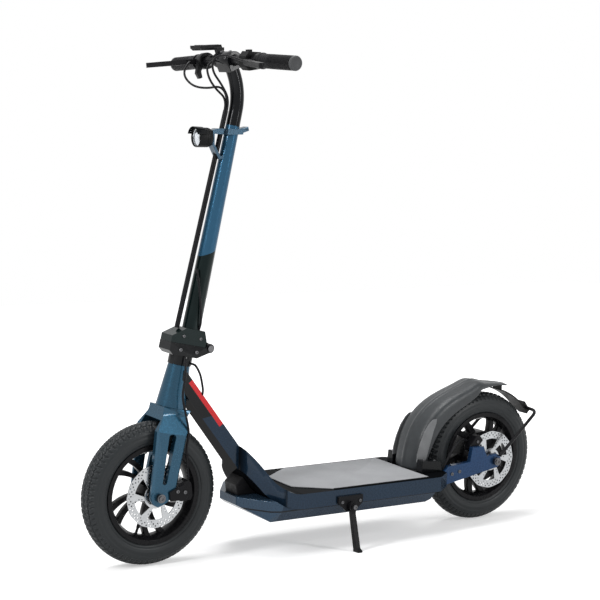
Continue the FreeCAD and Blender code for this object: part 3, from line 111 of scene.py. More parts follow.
class Look:
    """A material's node tree, with short calls for the nodes that the finishes share."""

    def __init__(self, name):
        self.material = bpy.data.materials.new(name)
        self.material.use_nodes = True
        self.nodes = self.material.node_tree.nodes
        self.links = self.material.node_tree.links
        self.shader = self.nodes["Principled BSDF"]

    def put(self, **values):
        """Set the shader's values that are the same all over."""
        for key, value in values.items():
            self.shader.inputs[key.replace("_", " ")].default_value = value

    def node(self, kind, **settings):
        made = self.nodes.new("ShaderNode" + kind)
        for key, value in settings.items():
            setattr(made, key, value)
        return made

    def join(self, source, target):
        self.links.new(source, target)

    def place(self):
        return self.node("TexCoord").outputs["Object"]

    def noise(self, scale, detail=3.0):
        made = self.node("TexNoise")
        made.inputs["Scale"].default_value = scale
        made.inputs["Detail"].default_value = detail
        self.join(self.place(), made.inputs["Vector"])
        return made.outputs["Fac"]

    def cells(self, scale):
        made = self.node("TexVoronoi")
        made.inputs["Scale"].default_value = scale
        self.join(self.place(), made.inputs["Vector"])
        return made.outputs["Distance"]

    def ranged(self, source, low, high, new_low, new_high):
        """The source's stretch from low to high, mapped to the new one and kept within it."""
        made = self.node("MapRange")
        made.inputs["From Min"].default_value = low
        made.inputs["From Max"].default_value = high
        made.inputs["To Min"].default_value = new_low
        made.inputs["To Max"].default_value = new_high
        self.join(source, made.inputs["Value"])
        return made.outputs["Result"]

    def vector(self, operation, source, other=None):
        """What a vector operation gives for a source and, where it takes one, a fixed vector."""
        made = self.node("VectorMath", operation=operation)
        self.join(source, made.inputs[0])
        if other is not None:
            made.inputs[1].default_value = other
        return made.outputs["Vector" if operation == "SUBTRACT" else "Value"]

    def along(self, point, way):
        """0 before the plane through point, square to way, and 1 after it."""
        away = self.vector("SUBTRACT", self.place(), point)
        reach = self.vector("DOT_PRODUCT", away, Vector(way).normalized())
        return self.ranged(reach, -EDGE_BLUR, EDGE_BLUR, 0, 1)

    def facing(self, way, low, high):
        """1 where the surface faces the given way."""
        normal = self.node("NewGeometry").outputs["True Normal"]
        reach = self.vector("DOT_PRODUCT", normal, Vector(way).normalized())
        return self.ranged(reach, low, high, 0, 1)

    def math(self, operation, a, b):
        """What an operation gives for two numbers or sockets."""
        made = self.node("Math", operation=operation)
        for index, item in enumerate((a, b)):
            if isinstance(item, (int, float)):
                made.inputs[index].default_value = item
            else:
                self.join(item, made.inputs[index])
        return made.outputs["Value"]

    def between(self, point, way, length):
        """1 from the plane through point to the one a length further along way."""
        start = self.along(point, way)
        end = self.along(Vector(point) + Vector(way).normalized() * length, way)
        return self.math("SUBTRACT", start, end)

    def blend(self, factor, a, b):
        """Colour a where the factor is 0 and colour b where it is 1."""
        made = self.node("Mix", data_type="RGBA")
        for socket, item in (("A", a), ("B", b)):
            target = [i for i in made.inputs if i.name == socket and i.type == "RGBA"][0]
            if isinstance(item, tuple):
                target.default_value = item + (1.0,)
            else:
                self.join(item, target)
        self.join(factor, [i for i in made.inputs if i.name == "Factor" and i.type == "VALUE"][0])
        return [o for o in made.outputs if o.type == "RGBA"][0]

    def layered(self, shade, layers):
        """The shade with other colours over it where their masks are 1."""
        for mask, over in layers:
            shade = self.blend(mask(self), shade, over)
        return shade

    def colour(self, source):
        self.join(source, self.shader.inputs["Base Color"])

    def rough(self, source, low, high):
        """Roughness from low to high over the middle of a noise's range."""
        self.join(self.ranged(source, 0.3, 0.7, low, high), self.shader.inputs["Roughness"])

    def bump(self, source, strength, distance):
        made = self.node("Bump")
        made.inputs["Strength"].default_value = strength
        made.inputs["Distance"].default_value = distance
        self.join(source, made.inputs["Height"])
        self.join(made.outputs["Normal"], self.shader.inputs["Normal"])


def tint(colour, amount):
    """A colour made darker or lighter."""
    return tuple(min(1.0, c * amount) for c in colour)


NAVY = (0.009, 0.021, 0.039)
# Painted light: a lighter navy for the hull's front end, where the lamps fall on it
NAVY_PAINTED_LIGHT_NOSE = (0.026, 0.050, 0.082)
ARM_BLUE = (0.011, 0.036, 0.092)
TEAL = (0.019, 0.065, 0.108)
BRACKET_BLUE = (0.034, 0.066, 0.098)
STEM_BLUE = (0.023, 0.086, 0.155)
GLOSS_BLACK = (0.0035, 0.0040, 0.0048)
DARK_GREEN = (0.004, 0.010, 0.010)
RED = (0.45, 0.018, 0.022)
COAT = 0.35
BARE_COAT = 0.08


def paint(name, colour, flake=0.08, rough=0.26, metallic=0.4, layers=(), bare=None):
    """Sprayed metallic paint under clear coat; bare is a mask of where it is plain satin black."""
    look = Look(name)
    look.put(Metallic=metallic, Coat_Weight=COAT, Coat_Roughness=0.04, Roughness=rough,
             Specular_IOR_Level=0.0)
    flakes = look.ranged(look.cells(1600), 0.0, 0.8, 0, flake)
    sparkling = look.blend(flakes, tint(colour, 1.25), tint(colour, 0.6))
    broad = look.blend(look.noise(9), sparkling, tint(colour, 0.88))
    look.colour(look.layered(broad, layers))
    look.rough(look.noise(220), rough - 0.05, rough + 0.08)
    if bare is not None:
        painted = look.math("SUBTRACT", 1.0, bare(look))
        look.join(look.ranged(painted, 0, 1, BARE_COAT, COAT), look.shader.inputs["Coat Weight"])
        look.join(look.math("MULTIPLY", painted, metallic), look.shader.inputs["Metallic"])
    look.bump(look.noise(700), 0.02, 0.0003)
    return look.material


def black_gloss(name, colour=GLOSS_BLACK, metallic=0.0, layers=()):
    """Piano black with faint dust and swirl marks."""
    look = Look(name)
    look.put(Metallic=metallic, Coat_Weight=0.18, Coat_Roughness=0.03, Roughness=0.16,
             Specular_IOR_Level=0.06)
    look.colour(look.layered(look.blend(look.noise(30), colour, tint(colour, 1.7)), layers))
    look.rough(look.noise(90), 0.14, 0.26)
    look.bump(look.noise(900), 0.03, 0.0003)
    return look.material


def cast(name, colour, rough=0.42, grain=900, depth=0.25, shine=0.1):
    """Cast or moulded surface with fine grain and polished high spots."""
    look = Look(name)
    look.put(Roughness=rough, Specular_IOR_Level=shine)
    look.colour(look.blend(look.noise(45), tint(colour, 0.7), tint(colour, 1.25)))
    look.rough(look.noise(160), rough - 0.08, rough + 0.1)
    look.bump(look.noise(grain, 5), depth, 0.0003)
    return look.material


def rubber(name, colour, rough=0.72, grain=1400, depth=0.5, shine=0.12, layers=()):
    """Rubber with dust and fine grain."""
    look = Look(name)
    look.put(Roughness=rough, Specular_IOR_Level=shine)
    dusty = look.blend(look.noise(14, 6), colour, tint(colour, 1.4))
    look.colour(look.layered(dusty, layers))
    look.rough(look.noise(120), rough - 0.1, rough + 0.08)
    look.bump(look.noise(grain, 4), depth, 0.0003)
    return look.material


def steel(name, centre, colour=(0.40, 0.41, 0.42), rough=0.28):
    """Ground steel with circular lines about an axle."""
    look = Look(name)
    look.put(Metallic=1.0, Roughness=rough)
    rings = look.node("TexNoise", noise_dimensions="1D")
    rings.inputs["Scale"].default_value = 2500
    look.join(look.vector("LENGTH", look.vector("SUBTRACT", look.place(), centre)), rings.inputs["W"])
    look.colour(look.blend(look.noise(60), tint(colour, 0.85), tint(colour, 1.1)))
    look.rough(rings.outputs["Fac"], rough - 0.08, rough + 0.14)
    look.bump(rings.outputs["Fac"], 0.12, 0.0002)
    return look.material


def lit(name, strength):
    """A light emitter with a faint grain of separate chips."""
    look = Look(name)
    look.put(Base_Color=(0.9, 0.9, 0.85, 1), Roughness=0.3, Emission_Strength=strength)
    chips = look.blend(look.cells(900), (1.0, 0.98, 0.9), (0.8, 0.85, 0.95))
    look.join(chips, look.shader.inputs["Emission Color"])
    return look.material


def bright(name, colour, rough=0.12):
    """Polished or plated metal with fine wear marks."""
    look = Look(name)
    look.put(Metallic=1.0, Roughness=rough)
    look.colour(look.blend(look.noise(80), tint(colour, 0.9), tint(colour, 1.05)))
    look.rough(look.noise(400, 4), rough - 0.04, rough + 0.08)
    look.bump(look.noise(900, 2), 0.05, 0.0002)
    return look.material


def glass(name):
    """Clear glass with a faint unevenness."""
    look = Look(name)
    look.put(Transmission_Weight=1.0, Roughness=0.03, IOR=1.5, Base_Color=(0.96, 0.98, 1.0, 1))
    look.bump(look.noise(160), 0.05, 0.0004)
    return look.material


# Where the paint changes: the masks are 1 inside the place that each names

BLUE_TOP = on_steer(-11.5, 0, 968)
BLUE_LOW = on_steer(-11.5, 0, 690)
BLUE_SLANT = STEER_UP + STEER_AHEAD * 0.6


def stem_blue(look):
    """The stem from the lamp bracket down to a slanting line."""
    return look.math("MULTIPLY", look.along(BLUE_TOP, -STEER_UP), look.along(BLUE_LOW, BLUE_SLANT))


def stem_dark(look):
    """The stem below that line."""
    return look.along(BLUE_LOW, -BLUE_SLANT)


DECK = 146
NECK_START = 140
NECK_WAY = AHEAD * 0.610 + UP * 0.792
NECK_OUT = UP * 0.610 - AHEAD * 0.792
NECK_TOP_FACE = at(223, 0, 219)
HEAD_LINE = at(305, 0, 322)
STRIPE_LOW = at(286, 0, 301)
STRIPE_LONG = 128 * MM
STRIPE_DEEP = 11 * MM
STRIPE_INNER = 15
NOSE_LINE = at(196, 0, 60)
GASKET_LOW = at(0, 0, 109.5)
GASKET_HIGH = 3 * MM
MAT_LINE = 4 * MM


def deck_top(look):
    """The level top faces of the rails."""
    level = look.math("MULTIPLY", look.along(at(0, 0, DECK - 3), UP), look.along(at(0, 0, DECK + 4), DOWN))
    return look.math("MULTIPLY", look.facing(UP, 0.93, 0.96), level)


def neck_under(look):
    """The neck's front and lower faces."""
    low = look.facing(AHEAD * 0.8 + DOWN * 0.6, 0.7, 0.8)
    return look.math("MULTIPLY", low, look.along(at(NECK_START, 0, 0), AHEAD))


def frame_bare(look):
    """The frame's black lower faces and rail tops, which have no clear coat."""
    return look.math("MAXIMUM", neck_under(look), deck_top(look))


def neck_head(look):
    """The neck's upper end, black down to a slanting line."""
    return look.along(HEAD_LINE, AHEAD * 0.2 + UP)


def neck_stripe(look):
    """A band along each upper edge of the neck below the head."""
    reach = look.between(STRIPE_LOW, NECK_WAY, STRIPE_LONG)
    left = look.along(at(0, STRIPE_INNER, 0), LEFT)
    right = look.along(at(0, -STRIPE_INNER, 0), -LEFT)
    edge = look.math("ADD", left, right)
    high = look.along(NECK_TOP_FACE - NECK_OUT * STRIPE_DEEP, NECK_OUT)
    return look.math("MULTIPLY", look.math("MULTIPLY", reach, edge), high)


def painted_light_nose(look):
    """The hull's raised front end, where a lighter navy is painted in as the light that falls on it."""
    return look.along(NOSE_LINE, AHEAD + UP * 0.3)


def gasket(look):
    """The seal between the rails and the hull under them."""
    return look.between(GASKET_LOW, UP, GASKET_HIGH)


def mat_border(look):
    """Lines along the mat's long edges."""
    low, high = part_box("grip_mat")
    half = LEFT * ((high[1] - low[1]) / 2 - MAT_LINE)
    return look.math("ADD", look.along(middle + half, LEFT), look.along(middle - half, -LEFT))


STEEL_AT = {"front_rotor": front_axle, "rear_rotor": rear_axle}
FRAME_LAYERS = [
    (neck_head, GLOSS_BLACK), (neck_under, GLOSS_BLACK), (deck_top, GLOSS_BLACK), (neck_stripe, RED)]
# The hull's front end gets painted light, a lighter navy; the gasket is a black seal
HULL_LAYERS = [(painted_light_nose, NAVY_PAINTED_LIGHT_NOSE), (gasket, GLOSS_BLACK)]
STEM_LAYERS = [(stem_dark, DARK_GREEN), (stem_blue, STEM_BLUE)]
FINISH = {
    "navy": paint("navy_paint", NAVY, layers=FRAME_LAYERS, bare=frame_bare),
    "arm": paint("arm_paint", ARM_BLUE),
    "hull": paint("hull_paint", tint(NAVY, 1.1), layers=HULL_LAYERS),
    "teal": paint("fork_paint", TEAL, flake=0.2, rough=0.24, metallic=0.5),
    "bracket": paint("bracket_paint", BRACKET_BLUE, flake=0.2, metallic=0.5),
    "stem": black_gloss("stem_paint", metallic=0.35, layers=STEM_LAYERS),
    "gloss": black_gloss("gloss_black"),
    "cast": cast("cast_black", (0.006, 0.006, 0.007), rough=0.32),
    "wheel": cast("wheel_black", (0.007, 0.007, 0.008), rough=0.28, depth=0.12),
    "plastic": cast("black_plastic", (0.007, 0.0073, 0.0078), rough=0.42, grain=1300),
    "fender": cast("fender_plastic", (0.030, 0.034, 0.037), rough=0.36, grain=1100, depth=0.3, shine=0.3),
    "panel": cast("fender_side", (0.15, 0.155, 0.16), rough=0.35, grain=1100, depth=0.2, shine=0.3),
    "tyre": rubber("tyre_rubber", (0.012, 0.0142, 0.0156), rough=0.42, depth=0.2, shine=0.24),
    "grip": rubber("grip_rubber", (0.008, 0.008, 0.009), rough=0.5),
    "sleeve": rubber("cable_sleeve", (0.005, 0.005, 0.006), rough=0.38, grain=2500),
    "mat": rubber("deck_grip", (0.27, 0.275, 0.285), rough=0.8, grain=2600, depth=0.9,
                  layers=[(mat_border, GLOSS_BLACK)]),
    "glass": glass("lamp_glass"),
    "cap": cast("grip_end_grey", (0.075, 0.077, 0.080), rough=0.5, grain=1300),
    "bolt": bright("black_oxide", (0.11, 0.11, 0.115), 0.26),
    "chrome": bright("lamp_chrome", (0.86, 0.87, 0.88), 0.07),
    "light": lit("lamp_led", 1.6),
    "red_lens": cast("red_lens", (0.30, 0.008, 0.010), rough=0.12, grain=300, depth=0.2),
    "screen": black_gloss("display_screen", (0.004, 0.006, 0.008)),
}
USES = {
    "navy": ["frame"],
    "arm": ["rear_arm_left", "rear_arm_right"],
    "hull": ["deck_hull"],
    "teal": ["fork", "head_tube"],
    "bracket": ["lamp_bracket"],
    "stem": ["stem"],
    "gloss": ["bar_clamp", "fold_base", "fender_feet"],
    "cast": ["rear_caliper", "front_caliper", "handlebar", "brake_lever_left", "brake_lever_right",
             "stand_bracket", "side_stand", "hugger_stay_left", "hugger_stay_right"],
    "wheel": ["front_rim", "rear_rim"],
    "plastic": ["battery", "rear_hugger", "tail_block", "head_lamp", "display", "throttle", "switch_block"],
    "fender": ["rear_fender"],
    "panel": ["fender_panels"],
    "tyre": ["front_tyre", "rear_tyre"],
    "grip": ["grip_left", "grip_right", "neck_boot"],
    "sleeve": ["cable_conduit", "brake_hose_left", "brake_hose_right", "control_cable"],
    "mat": ["grip_mat"],
    "glass": ["lamp_lens"],
    "bolt": ["front_axle", "rear_axle", "fold_pin"],
}
EDGE = {  # width of the rounds on a node's sharp edges, in millimetres
    "frame": 2.0, "deck_hull": 1.6, "grip_mat": 0.6, "neck_boot": 3.0, "fender_feet": 2.0, "tail_block": 1.5,
    "rear_arm_left": 1.6, "rear_arm_right": 1.6, "rear_caliper": 1.5, "stand_bracket": 1.2, "side_stand": 1.0,
    "fork": 0.7, "fold_base": 1.6, "front_caliper": 1.5, "front_rim": 0.8, "rear_rim": 0.8,
    "lamp_bracket": 1.2, "bar_clamp": 1.5, "switch_block": 1.5, "display": 1.5, "throttle": 1.2,
    "brake_lever_left": 1.8, "brake_lever_right": 1.8,
}
SHARP = math.radians(32)
WELD = 0.00002


def finish_node(name, material):
    """A CAD node's own material."""
    NODE[name].data.materials.clear()
    NODE[name].data.materials.append(material)


def rounded(made, width, segments=2):
    """Small rounds on an object's sharp edges, width in millimetres."""
    bevel = made.modifiers.new("edges", "BEVEL")
    bevel.width = width * MM
    bevel.segments = segments
    bevel.limit_method = "ANGLE"
    bevel.angle_limit = SHARP
    bevel.harden_normals = True


for key, nodes in USES.items():
    for name in nodes:
        finish_node(name, FINISH[key])
for name, centre in STEEL_AT.items():
    finish_node(name, steel(name + "_steel", centre))
for name, width in EDGE.items():
    weld = NODE[name].modifiers.new("weld", "WELD")
    weld.merge_threshold = WELD
    rounded(NODE[name], width)


# Cords at the handlebar: the same route points as the solids, in the upright axes

HOSE = 2.4
CORDS = [  # node, length, points of its route
    ("brake_hose_left", 231, [
        (308.16, 119.0, 1080.84), (310, 92, 1086), (322, 60, 1095), (334, 30, 1090),
        (328, 12, 1062), (301, 11, 1032), (277.55, 2.61, 1001.19), (282.91, 2.61, 977.79)]),
    ("brake_hose_right", 215, [
        (308.16, -119.0, 1080.84), (322, -104, 1080), (341, -92, 1052), (331, -66, 1028),
        (312, -36, 1024), (290, -10, 1031), (277.55, -2.61, 1001.19), (282.91, -2.61, 977.79)]),
    ("control_cable", 128, [
        (296.93, -38.0, 1084.12), (314, -36, 1074), (318, -20, 1048), (307, -7, 1024),
        (281.94, 0, 1002.19), (287.29, 0, 978.80)]),
]


def cord(name, points):
    """A free hose or cable on a smooth curve, in place of its solid."""
    curve = bpy.data.curves.new(name, "CURVE")
    curve.dimensions = "3D"
    spline = curve.splines.new("NURBS")
    spline.points.add(len(points) - 1)
    for target, point in zip(spline.points, points):
        target.co = (*at(*point), 1)
    spline.order_u = 3
    spline.use_endpoint_u = True
    spline.resolution_u = 12
    curve.bevel_depth = HOSE * MM
    curve.bevel_resolution = 4
    curve.use_fill_caps = True
    curve.materials.append(FINISH["sleeve"])
    made = bpy.data.objects.new("cord_" + name, curve)
    bpy.context.scene.collection.objects.link(made)
    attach(made, "stem")
    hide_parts(name)


for name, length, points in CORDS:
    cord(name, points)


# Forms: turned, tube, arc_band, slab and plate give points, in metres, and faces

def piece(name, points, faces, finish, body, slot, replaced=()):
    """A mesh object with its finish, which rides on a body and may stand for CAD nodes."""
    mesh = bpy.data.meshes.new(name)
    mesh.from_pydata([tuple(map(float, p)) for p in points], [], [tuple(f) for f in faces])
    form = bmesh.new()
    form.from_mesh(mesh)
    bmesh.ops.recalc_face_normals(form, faces=form.faces)
    form.to_mesh(mesh)
    form.free()
    mesh.materials.append(FINISH[finish] if isinstance(finish, str) else finish)
    mesh.shade_smooth()
    made = bpy.data.objects.new(name, mesh)
    bpy.context.scene.collection.objects.link(made)
    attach(made, body)
    if replaced:
        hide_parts(*replaced)
    return made


def sharpen(made, angle=35):
    """Smooth shading that keeps the edges over the angle."""
    made.data.set_sharp_from_angle(angle=math.radians(angle))


def grid_faces(rows, columns, closed_rows=True):
    """Quads of a grid of points stored row by row, each row a closed ring."""
    faces = []
    for i in range(rows if closed_rows else rows - 1):
        for j in range(columns):
            a, b = i * columns, (i + 1) % rows * columns
            k = (j + 1) % columns
            faces.append((a + j, a + k, b + k, b + j))
    return faces


def end_faces(rows, columns):
    """One face over the first row of a grid and one over the last."""
    return [[row * columns + i for i in range(columns)] for row in (0, rows - 1)]


def turns(count, first=0.0):
    """Equal angles round a full turn."""
    return [first + 2 * math.pi * i / count for i in range(count)]


def polar(radius, turn):
    """The two coordinates of a point at a radius and an angle."""
    return radius * math.cos(turn), radius * math.sin(turn)


def cross_axes(way):
    """Two directions square to the given one."""
    way = Vector(way).normalized()
    side = way.orthogonal().normalized()
    return side, way.cross(side)


def on_circle(place, axes, radius, turn):
    """A point on the circle about place that the two axes span, radius in millimetres."""
    a, b = polar(radius * MM, turn)
    return place + axes[0] * a + axes[1] * b


def turned(place, way, profile, sides=48):
    """A profile of (distance along way, radius), turned about way."""
    place, way = Vector(place), Vector(way).normalized()
    axes = cross_axes(way)
    points = [on_circle(place + way * reach * MM, axes, radius, turn)
              for reach, radius in profile for turn in turns(sides)]
    faces = grid_faces(len(profile), sides, closed_rows=False)
    for end, (_, radius) in zip(end_faces(len(profile), sides), (profile[0], profile[-1])):
        if radius > 0.01:
            faces.append(end)
    return points, faces


def tube(path, radius, sides=14, steps=8):
    """A round tube along a smooth line through the path's points."""
    path = [Vector(p) for p in path]
    line = []
    for i in range(len(path) - 1):
        before, a, b, after = path[max(i - 1, 0)], path[i], path[i + 1], path[min(i + 2, len(path) - 1)]
        for step in range(steps):
            t = step / steps
            line.append(0.5 * (2 * a + (b - before) * t + (2 * before - 5 * a + 4 * b - after) * t ** 2
                               + (3 * a - before - 3 * b + after) * t ** 3))
    line.append(path[-1])
    u = cross_axes(line[1] - line[0])[0]
    points = []
    for i, spot in enumerate(line):
        way = (line[min(i + 1, len(line) - 1)] - line[max(i - 1, 0)]).normalized()
        u = (u - way * u.dot(way)).normalized()
        points += [on_circle(spot, (u, way.cross(u)), radius, turn) for turn in turns(sides)]
    return points, grid_faces(len(line), sides, closed_rows=False) + end_faces(len(line), sides)


def arc_band(place, way, half_angle, rings, steps=28):
    """A closed band of (distance, radius) corners, swept round way to either side of straight up."""
    way = Vector(way).normalized()
    up = (UP - way * UP.dot(way)).normalized()
    axes = (up, way.cross(up))
    points = [on_circle(place + way * reach * MM, axes, radius, half_angle * (2 * k / steps - 1))
              for k in range(steps + 1) for reach, radius in rings]
    faces = grid_faces(steps + 1, len(rings), closed_rows=False) + end_faces(steps + 1, len(rings))
    return points, faces


def slab(outline, low, high):
    """An outline in the upright x-z plane, thick from low to high along the left."""
    points = [at(x, y, z) for y in (low, high) for x, z in outline]
    return points, grid_faces(2, len(outline), closed_rows=False) + end_faces(2, len(outline))


def plate(centre, ahead, out, long, wide, low, high):
    """A flat plate on a face: long to the left, wide along ahead, from low to high along out."""
    corners = [(wide / 2, long / 2), (wide / 2, -long / 2), (-wide / 2, -long / 2), (-wide / 2, long / 2)]
    points = [centre + (ahead * a + LEFT * b + out * h) * MM for h in (low, high) for a, b in corners]
    return points, grid_faces(2, 4, closed_rows=False) + end_faces(2, 4)


def joined(shapes):
    """Several (points, faces) as one."""
    points, faces = [], []
    for more_points, more_faces in shapes:
        base = len(points)
        points += list(more_points)
        faces += [[base + i for i in f] for f in more_faces]
    return points, faces


# Screws, seated where a straight line meets a node

SEATED = 0.4
OUTSIDE = 220
TREES = {}


def seat(node, start, way):
    """Where a straight line from start first meets a node, and the surface's outward direction."""
    if node not in TREES:
        mesh = NODE[node].data
        corners = [v.co for v in mesh.vertices]
        TREES[node] = BVHTree.FromPolygons(corners, [p.vertices for p in mesh.polygons])
    way = Vector(way).normalized()
    spot, normal, _, _ = TREES[node].ray_cast(Vector(start), way)
    if spot is None:
        raise RuntimeError("nothing of %s lies on the line" % node)
    return spot, (normal if normal.dot(way) < 0 else -normal)


def from_side(node, x, z, side=1):
    """The line that meets a node from its left side, or with -1 from its right."""
    return node, at(x, side * OUTSIDE, z), LEFT * -side


def from_sides_of_steer(node, u, v):
    """The lines that meet a node from both sides, at a place along the steering axis."""
    return [(node, on_steer(u, side * OUTSIDE, v), LEFT * -side) for side in (1, -1)]


def screw(place, way, radius, high, sides=24):
    """A cap screw: chamfered head with a hexagon socket."""
    axes = cross_axes(way)
    socket = 0.5 * radius
    rows = [(-SEATED, radius, False), (high * 0.75, radius, False), (high, 0.86 * radius, False),
            (high, socket, True), (high * 0.35, socket, True)]
    points = []
    for reach, wide, hexagon in rows:
        for turn in turns(sides):
            flat = 0.87 / math.cos(turn % (math.pi / 3) - math.pi / 6) if hexagon else 1
            points.append(on_circle(place + way * reach * MM, axes, wide * flat, turn))
    return points, grid_faces(len(rows), sides, closed_rows=False) + end_faces(len(rows), sides)


def screws(name, body, lines, radius, high):
    """One piece of all the screws on the given lines of (node, start, direction)."""
    shapes = [screw(*seat(*line), radius, high) for line in lines]
    sharpen(piece(name, *joined(shapes), "bolt", body, "steel"), 30)


# Tyres: road tread carved into the CAD section, rings on the sidewalls

SECTION = 29.0
SECTION_INNER = 24
SECTION_AT = TYRE_RADIUS - SECTION
BEAD_RADIUS = 104
BEAD_HALF = (14.66, 21.9)
BEAD_ANGLE = 130.9
BEAD_ANGLE_INNER = 142.3
TREAD_EDGE = 62.0
TREAD_DEPTH = 2.6
RING_DEPTH = 0.95
PIP_DEPTH = 0.35
PITCHES = 72
STEPS_AROUND = 12 * PITCHES

# Places across the section, in degrees from its crown: grooves, edges, and rings with half width and softness
INNER_GROOVE = 13
OUTER_GROOVE = 35
FINE_EDGE = 58
DENSE_EDGE = 66
SIDE_RINGS = [(70, 1.2, 1.4), (84, 5.0, 1.6), (103, 1.2, 1.4), (118, 2.2, 1.6)]
PIPS_AT = 93


def hump(x, wide, soft):
    """1 within wide of zero, falling to 0 over soft."""
    return np.clip((wide - np.abs(x)) / soft + 0.5, 0, 1)


def sipe(phase, wide, soft):
    """Cross grooves, one at the middle of each pitch."""
    return hump(phase % 1 - 0.5, wide, soft)


def tread(phase, side, far):
    """Share of the tread's depth: two zigzag grooves a side, and cross grooves between them."""
    zigzag = 2 * np.abs((phase % 1) * 2 - 1) - 1
    past_inner, past_outer = far - INNER_GROOVE, far - OUTER_GROOVE
    inner = hump(past_inner - 2.0 * zigzag * side, 1.7, 1.8)
    outer = hump(past_outer + 1.6 * zigzag, 1.9, 1.8)
    middle = 0.7 * sipe(phase + 0.03 * far * side, 0.07, 0.10) * (past_inner < 0)
    second = sipe(phase + 0.25 * side + 0.022 * past_inner, 0.10, 0.09) * (past_inner >= 0) * (past_outer < 0)
    shoulder = sipe(phase + 0.25 * side + 0.5 - 0.012 * past_outer, 0.15, 0.09) * (past_outer >= 0)
    fine = 0.4 * sipe(phase * 2 + 0.25 + 0.02 * far * side, 0.12, 0.18) * (far < FINE_EDGE)
    share = np.maximum.reduce([inner, outer, middle, second, shoulder, fine])
    return share * np.clip((TREAD_EDGE - far) / 3, 0, 1)


def carving(turn, angle):
    """Depth cut into the tyre's surface, in millimetres, at a wheel angle and a section angle in degrees."""
    phase = turn * PITCHES / (2 * math.pi)
    side, far = np.sign(angle), np.abs(angle)
    rings = sum(hump(far - place, wide, soft) for place, wide, soft in SIDE_RINGS)
    pips = hump(far - PIPS_AT, 3.0, 1.0) * sipe(phase * 4, 0.3, 0.15)
    return TREAD_DEPTH * tread(phase, side, far) + RING_DEPTH * rings + PIP_DEPTH * pips


def tyre(name, node, axle, body):
    """The carved outer surface from bead to bead, and the plain inner one of the CAD section."""
    outer = np.concatenate([
        np.linspace(-BEAD_ANGLE, -DENSE_EDGE, 20, endpoint=False),
        np.linspace(-DENSE_EDGE, DENSE_EDGE, 50, endpoint=False), np.linspace(DENSE_EDGE, BEAD_ANGLE, 21)])
    turn = np.linspace(0, 2 * math.pi, STEPS_AROUND, endpoint=False)[:, None]
    section = SECTION - carving(turn, outer[None, :])
    inner = np.radians(np.linspace(BEAD_ANGLE_INNER, -BEAD_ANGLE_INNER, 8))
    toe, heel = BEAD_HALF
    inner_radial = np.concatenate([
        [BEAD_RADIUS] * 2, SECTION_AT + SECTION_INNER * np.cos(inner), [BEAD_RADIUS] * 2])
    inner_width = np.concatenate([[heel, toe], SECTION_INNER * np.sin(inner), [-toe, -heel]])
    radial = np.hstack([
        SECTION_AT + section * np.cos(np.radians(outer)), np.tile(inner_radial, (STEPS_AROUND, 1))])
    width = np.hstack([section * np.sin(np.radians(outer)), np.tile(inner_width, (STEPS_AROUND, 1))])
    spoke = np.cos(turn) * np.array(AHEAD) + np.sin(turn) * np.array(UP)
    places = radial[..., None] * spoke[:, None, :] + width[..., None] * np.array(LEFT)
    points = (np.array(axle) + places * MM).reshape(-1, 3)
    faces = grid_faces(STEPS_AROUND, radial.shape[1])
    sharpen(piece(name, points, faces, "tyre", body, "tyre_rubber", [node]), 50)


tyre("front_tyre_treaded", "front_tyre", front_axle, "front_wheel")
tyre("rear_tyre_treaded", "rear_tyre", rear_axle, "rear_wheel")


# Wheels: rotor screws, hub cover screws, rotors and valve stems

WHEEL_SCREWS = [  # piece, node, body, axle's place ahead, circle, count, side, first turn, radius, height
    ("front_rotor_screws", "front_rotor", "front_wheel", HALF_BASE, 19, 6, 1, 0.3, 3.4, 2.2),
    ("rear_rotor_screws", "rear_rotor", "rear_wheel", -HALF_BASE, 19, 6, 1, 0.3, 3.4, 2.2),
    ("motor_screws_right", "rear_rim", "rear_wheel", -HALF_BASE, 53, 9, -1, 0.3, 3.0, 2.0),
    ("motor_screws_left", "rear_rim", "rear_wheel", -HALF_BASE, 53, 9, 1, 0.1, 3.0, 2.0),
]
for name, node, body, x, circle, count, side, first, radius, high in WHEEL_SCREWS:
    spots = [polar(circle, turn) for turn in turns(count, first)]
    screws(name, body, [from_side(node, x + a, TYRE_RADIUS + b, side) for a, b in spots], radius, high)

ROTOR_RADIUS = 69.4
ROTOR_WAVE = 0.55
WAVES = 12
ROTOR_BORE = 13.5
ROTOR_THICK = 2.1
ROTOR_CHAMFER = 0.1
HOLE_ROWS = [(65.0, 0, 1.9), (60.2, 0.5, 1.9), (55.8, 0, 1.5)]  # circle, shift in pitches, hole's radius
HOLE_PITCHES = 36
WINDOW_SIDES = [(51.5, 12, 53, 12), (27.0, 44, 2, 8)]  # circle, first and last angle in degrees, steps
ARMS = 6
ARM_HOLES = [(34.0, 53.4), (41.0, 55.5)]  # circle, angle in degrees
ARM_HOLE_RADIUS = 1.5


def circle_points(centre, radius, count):
    return [(centre[0] + a, centre[1] + b) for a, b in (polar(radius, turn) for turn in turns(count))]


def rotor_loops():
    """The rotor's outlines: waved edge, bore, holes, and windows between swept arms with small holes."""
    edge = [polar(ROTOR_RADIUS - ROTOR_WAVE * (1 - math.cos(WAVES * turn)), turn) for turn in turns(360)]
    loops = [edge, circle_points((0, 0), ROTOR_BORE, 40)]
    for k in range(HOLE_PITCHES):
        for circle, shift, hole in HOLE_ROWS if k % 3 else HOLE_ROWS[:2]:
            centre = polar(circle, 2 * math.pi * (k + shift) / HOLE_PITCHES)
            loops.append(circle_points(centre, hole, 10))
    for arm in turns(ARMS):
        loops.append([polar(circle, arm + math.radians(first + (last - first) * i / steps))
                      for circle, first, last, steps in WINDOW_SIDES for i in range(steps + 1)])
        for circle, angle in ARM_HOLES:
            loops.append(circle_points(polar(circle, arm + math.radians(angle)), ARM_HOLE_RADIUS, 10))
    return loops


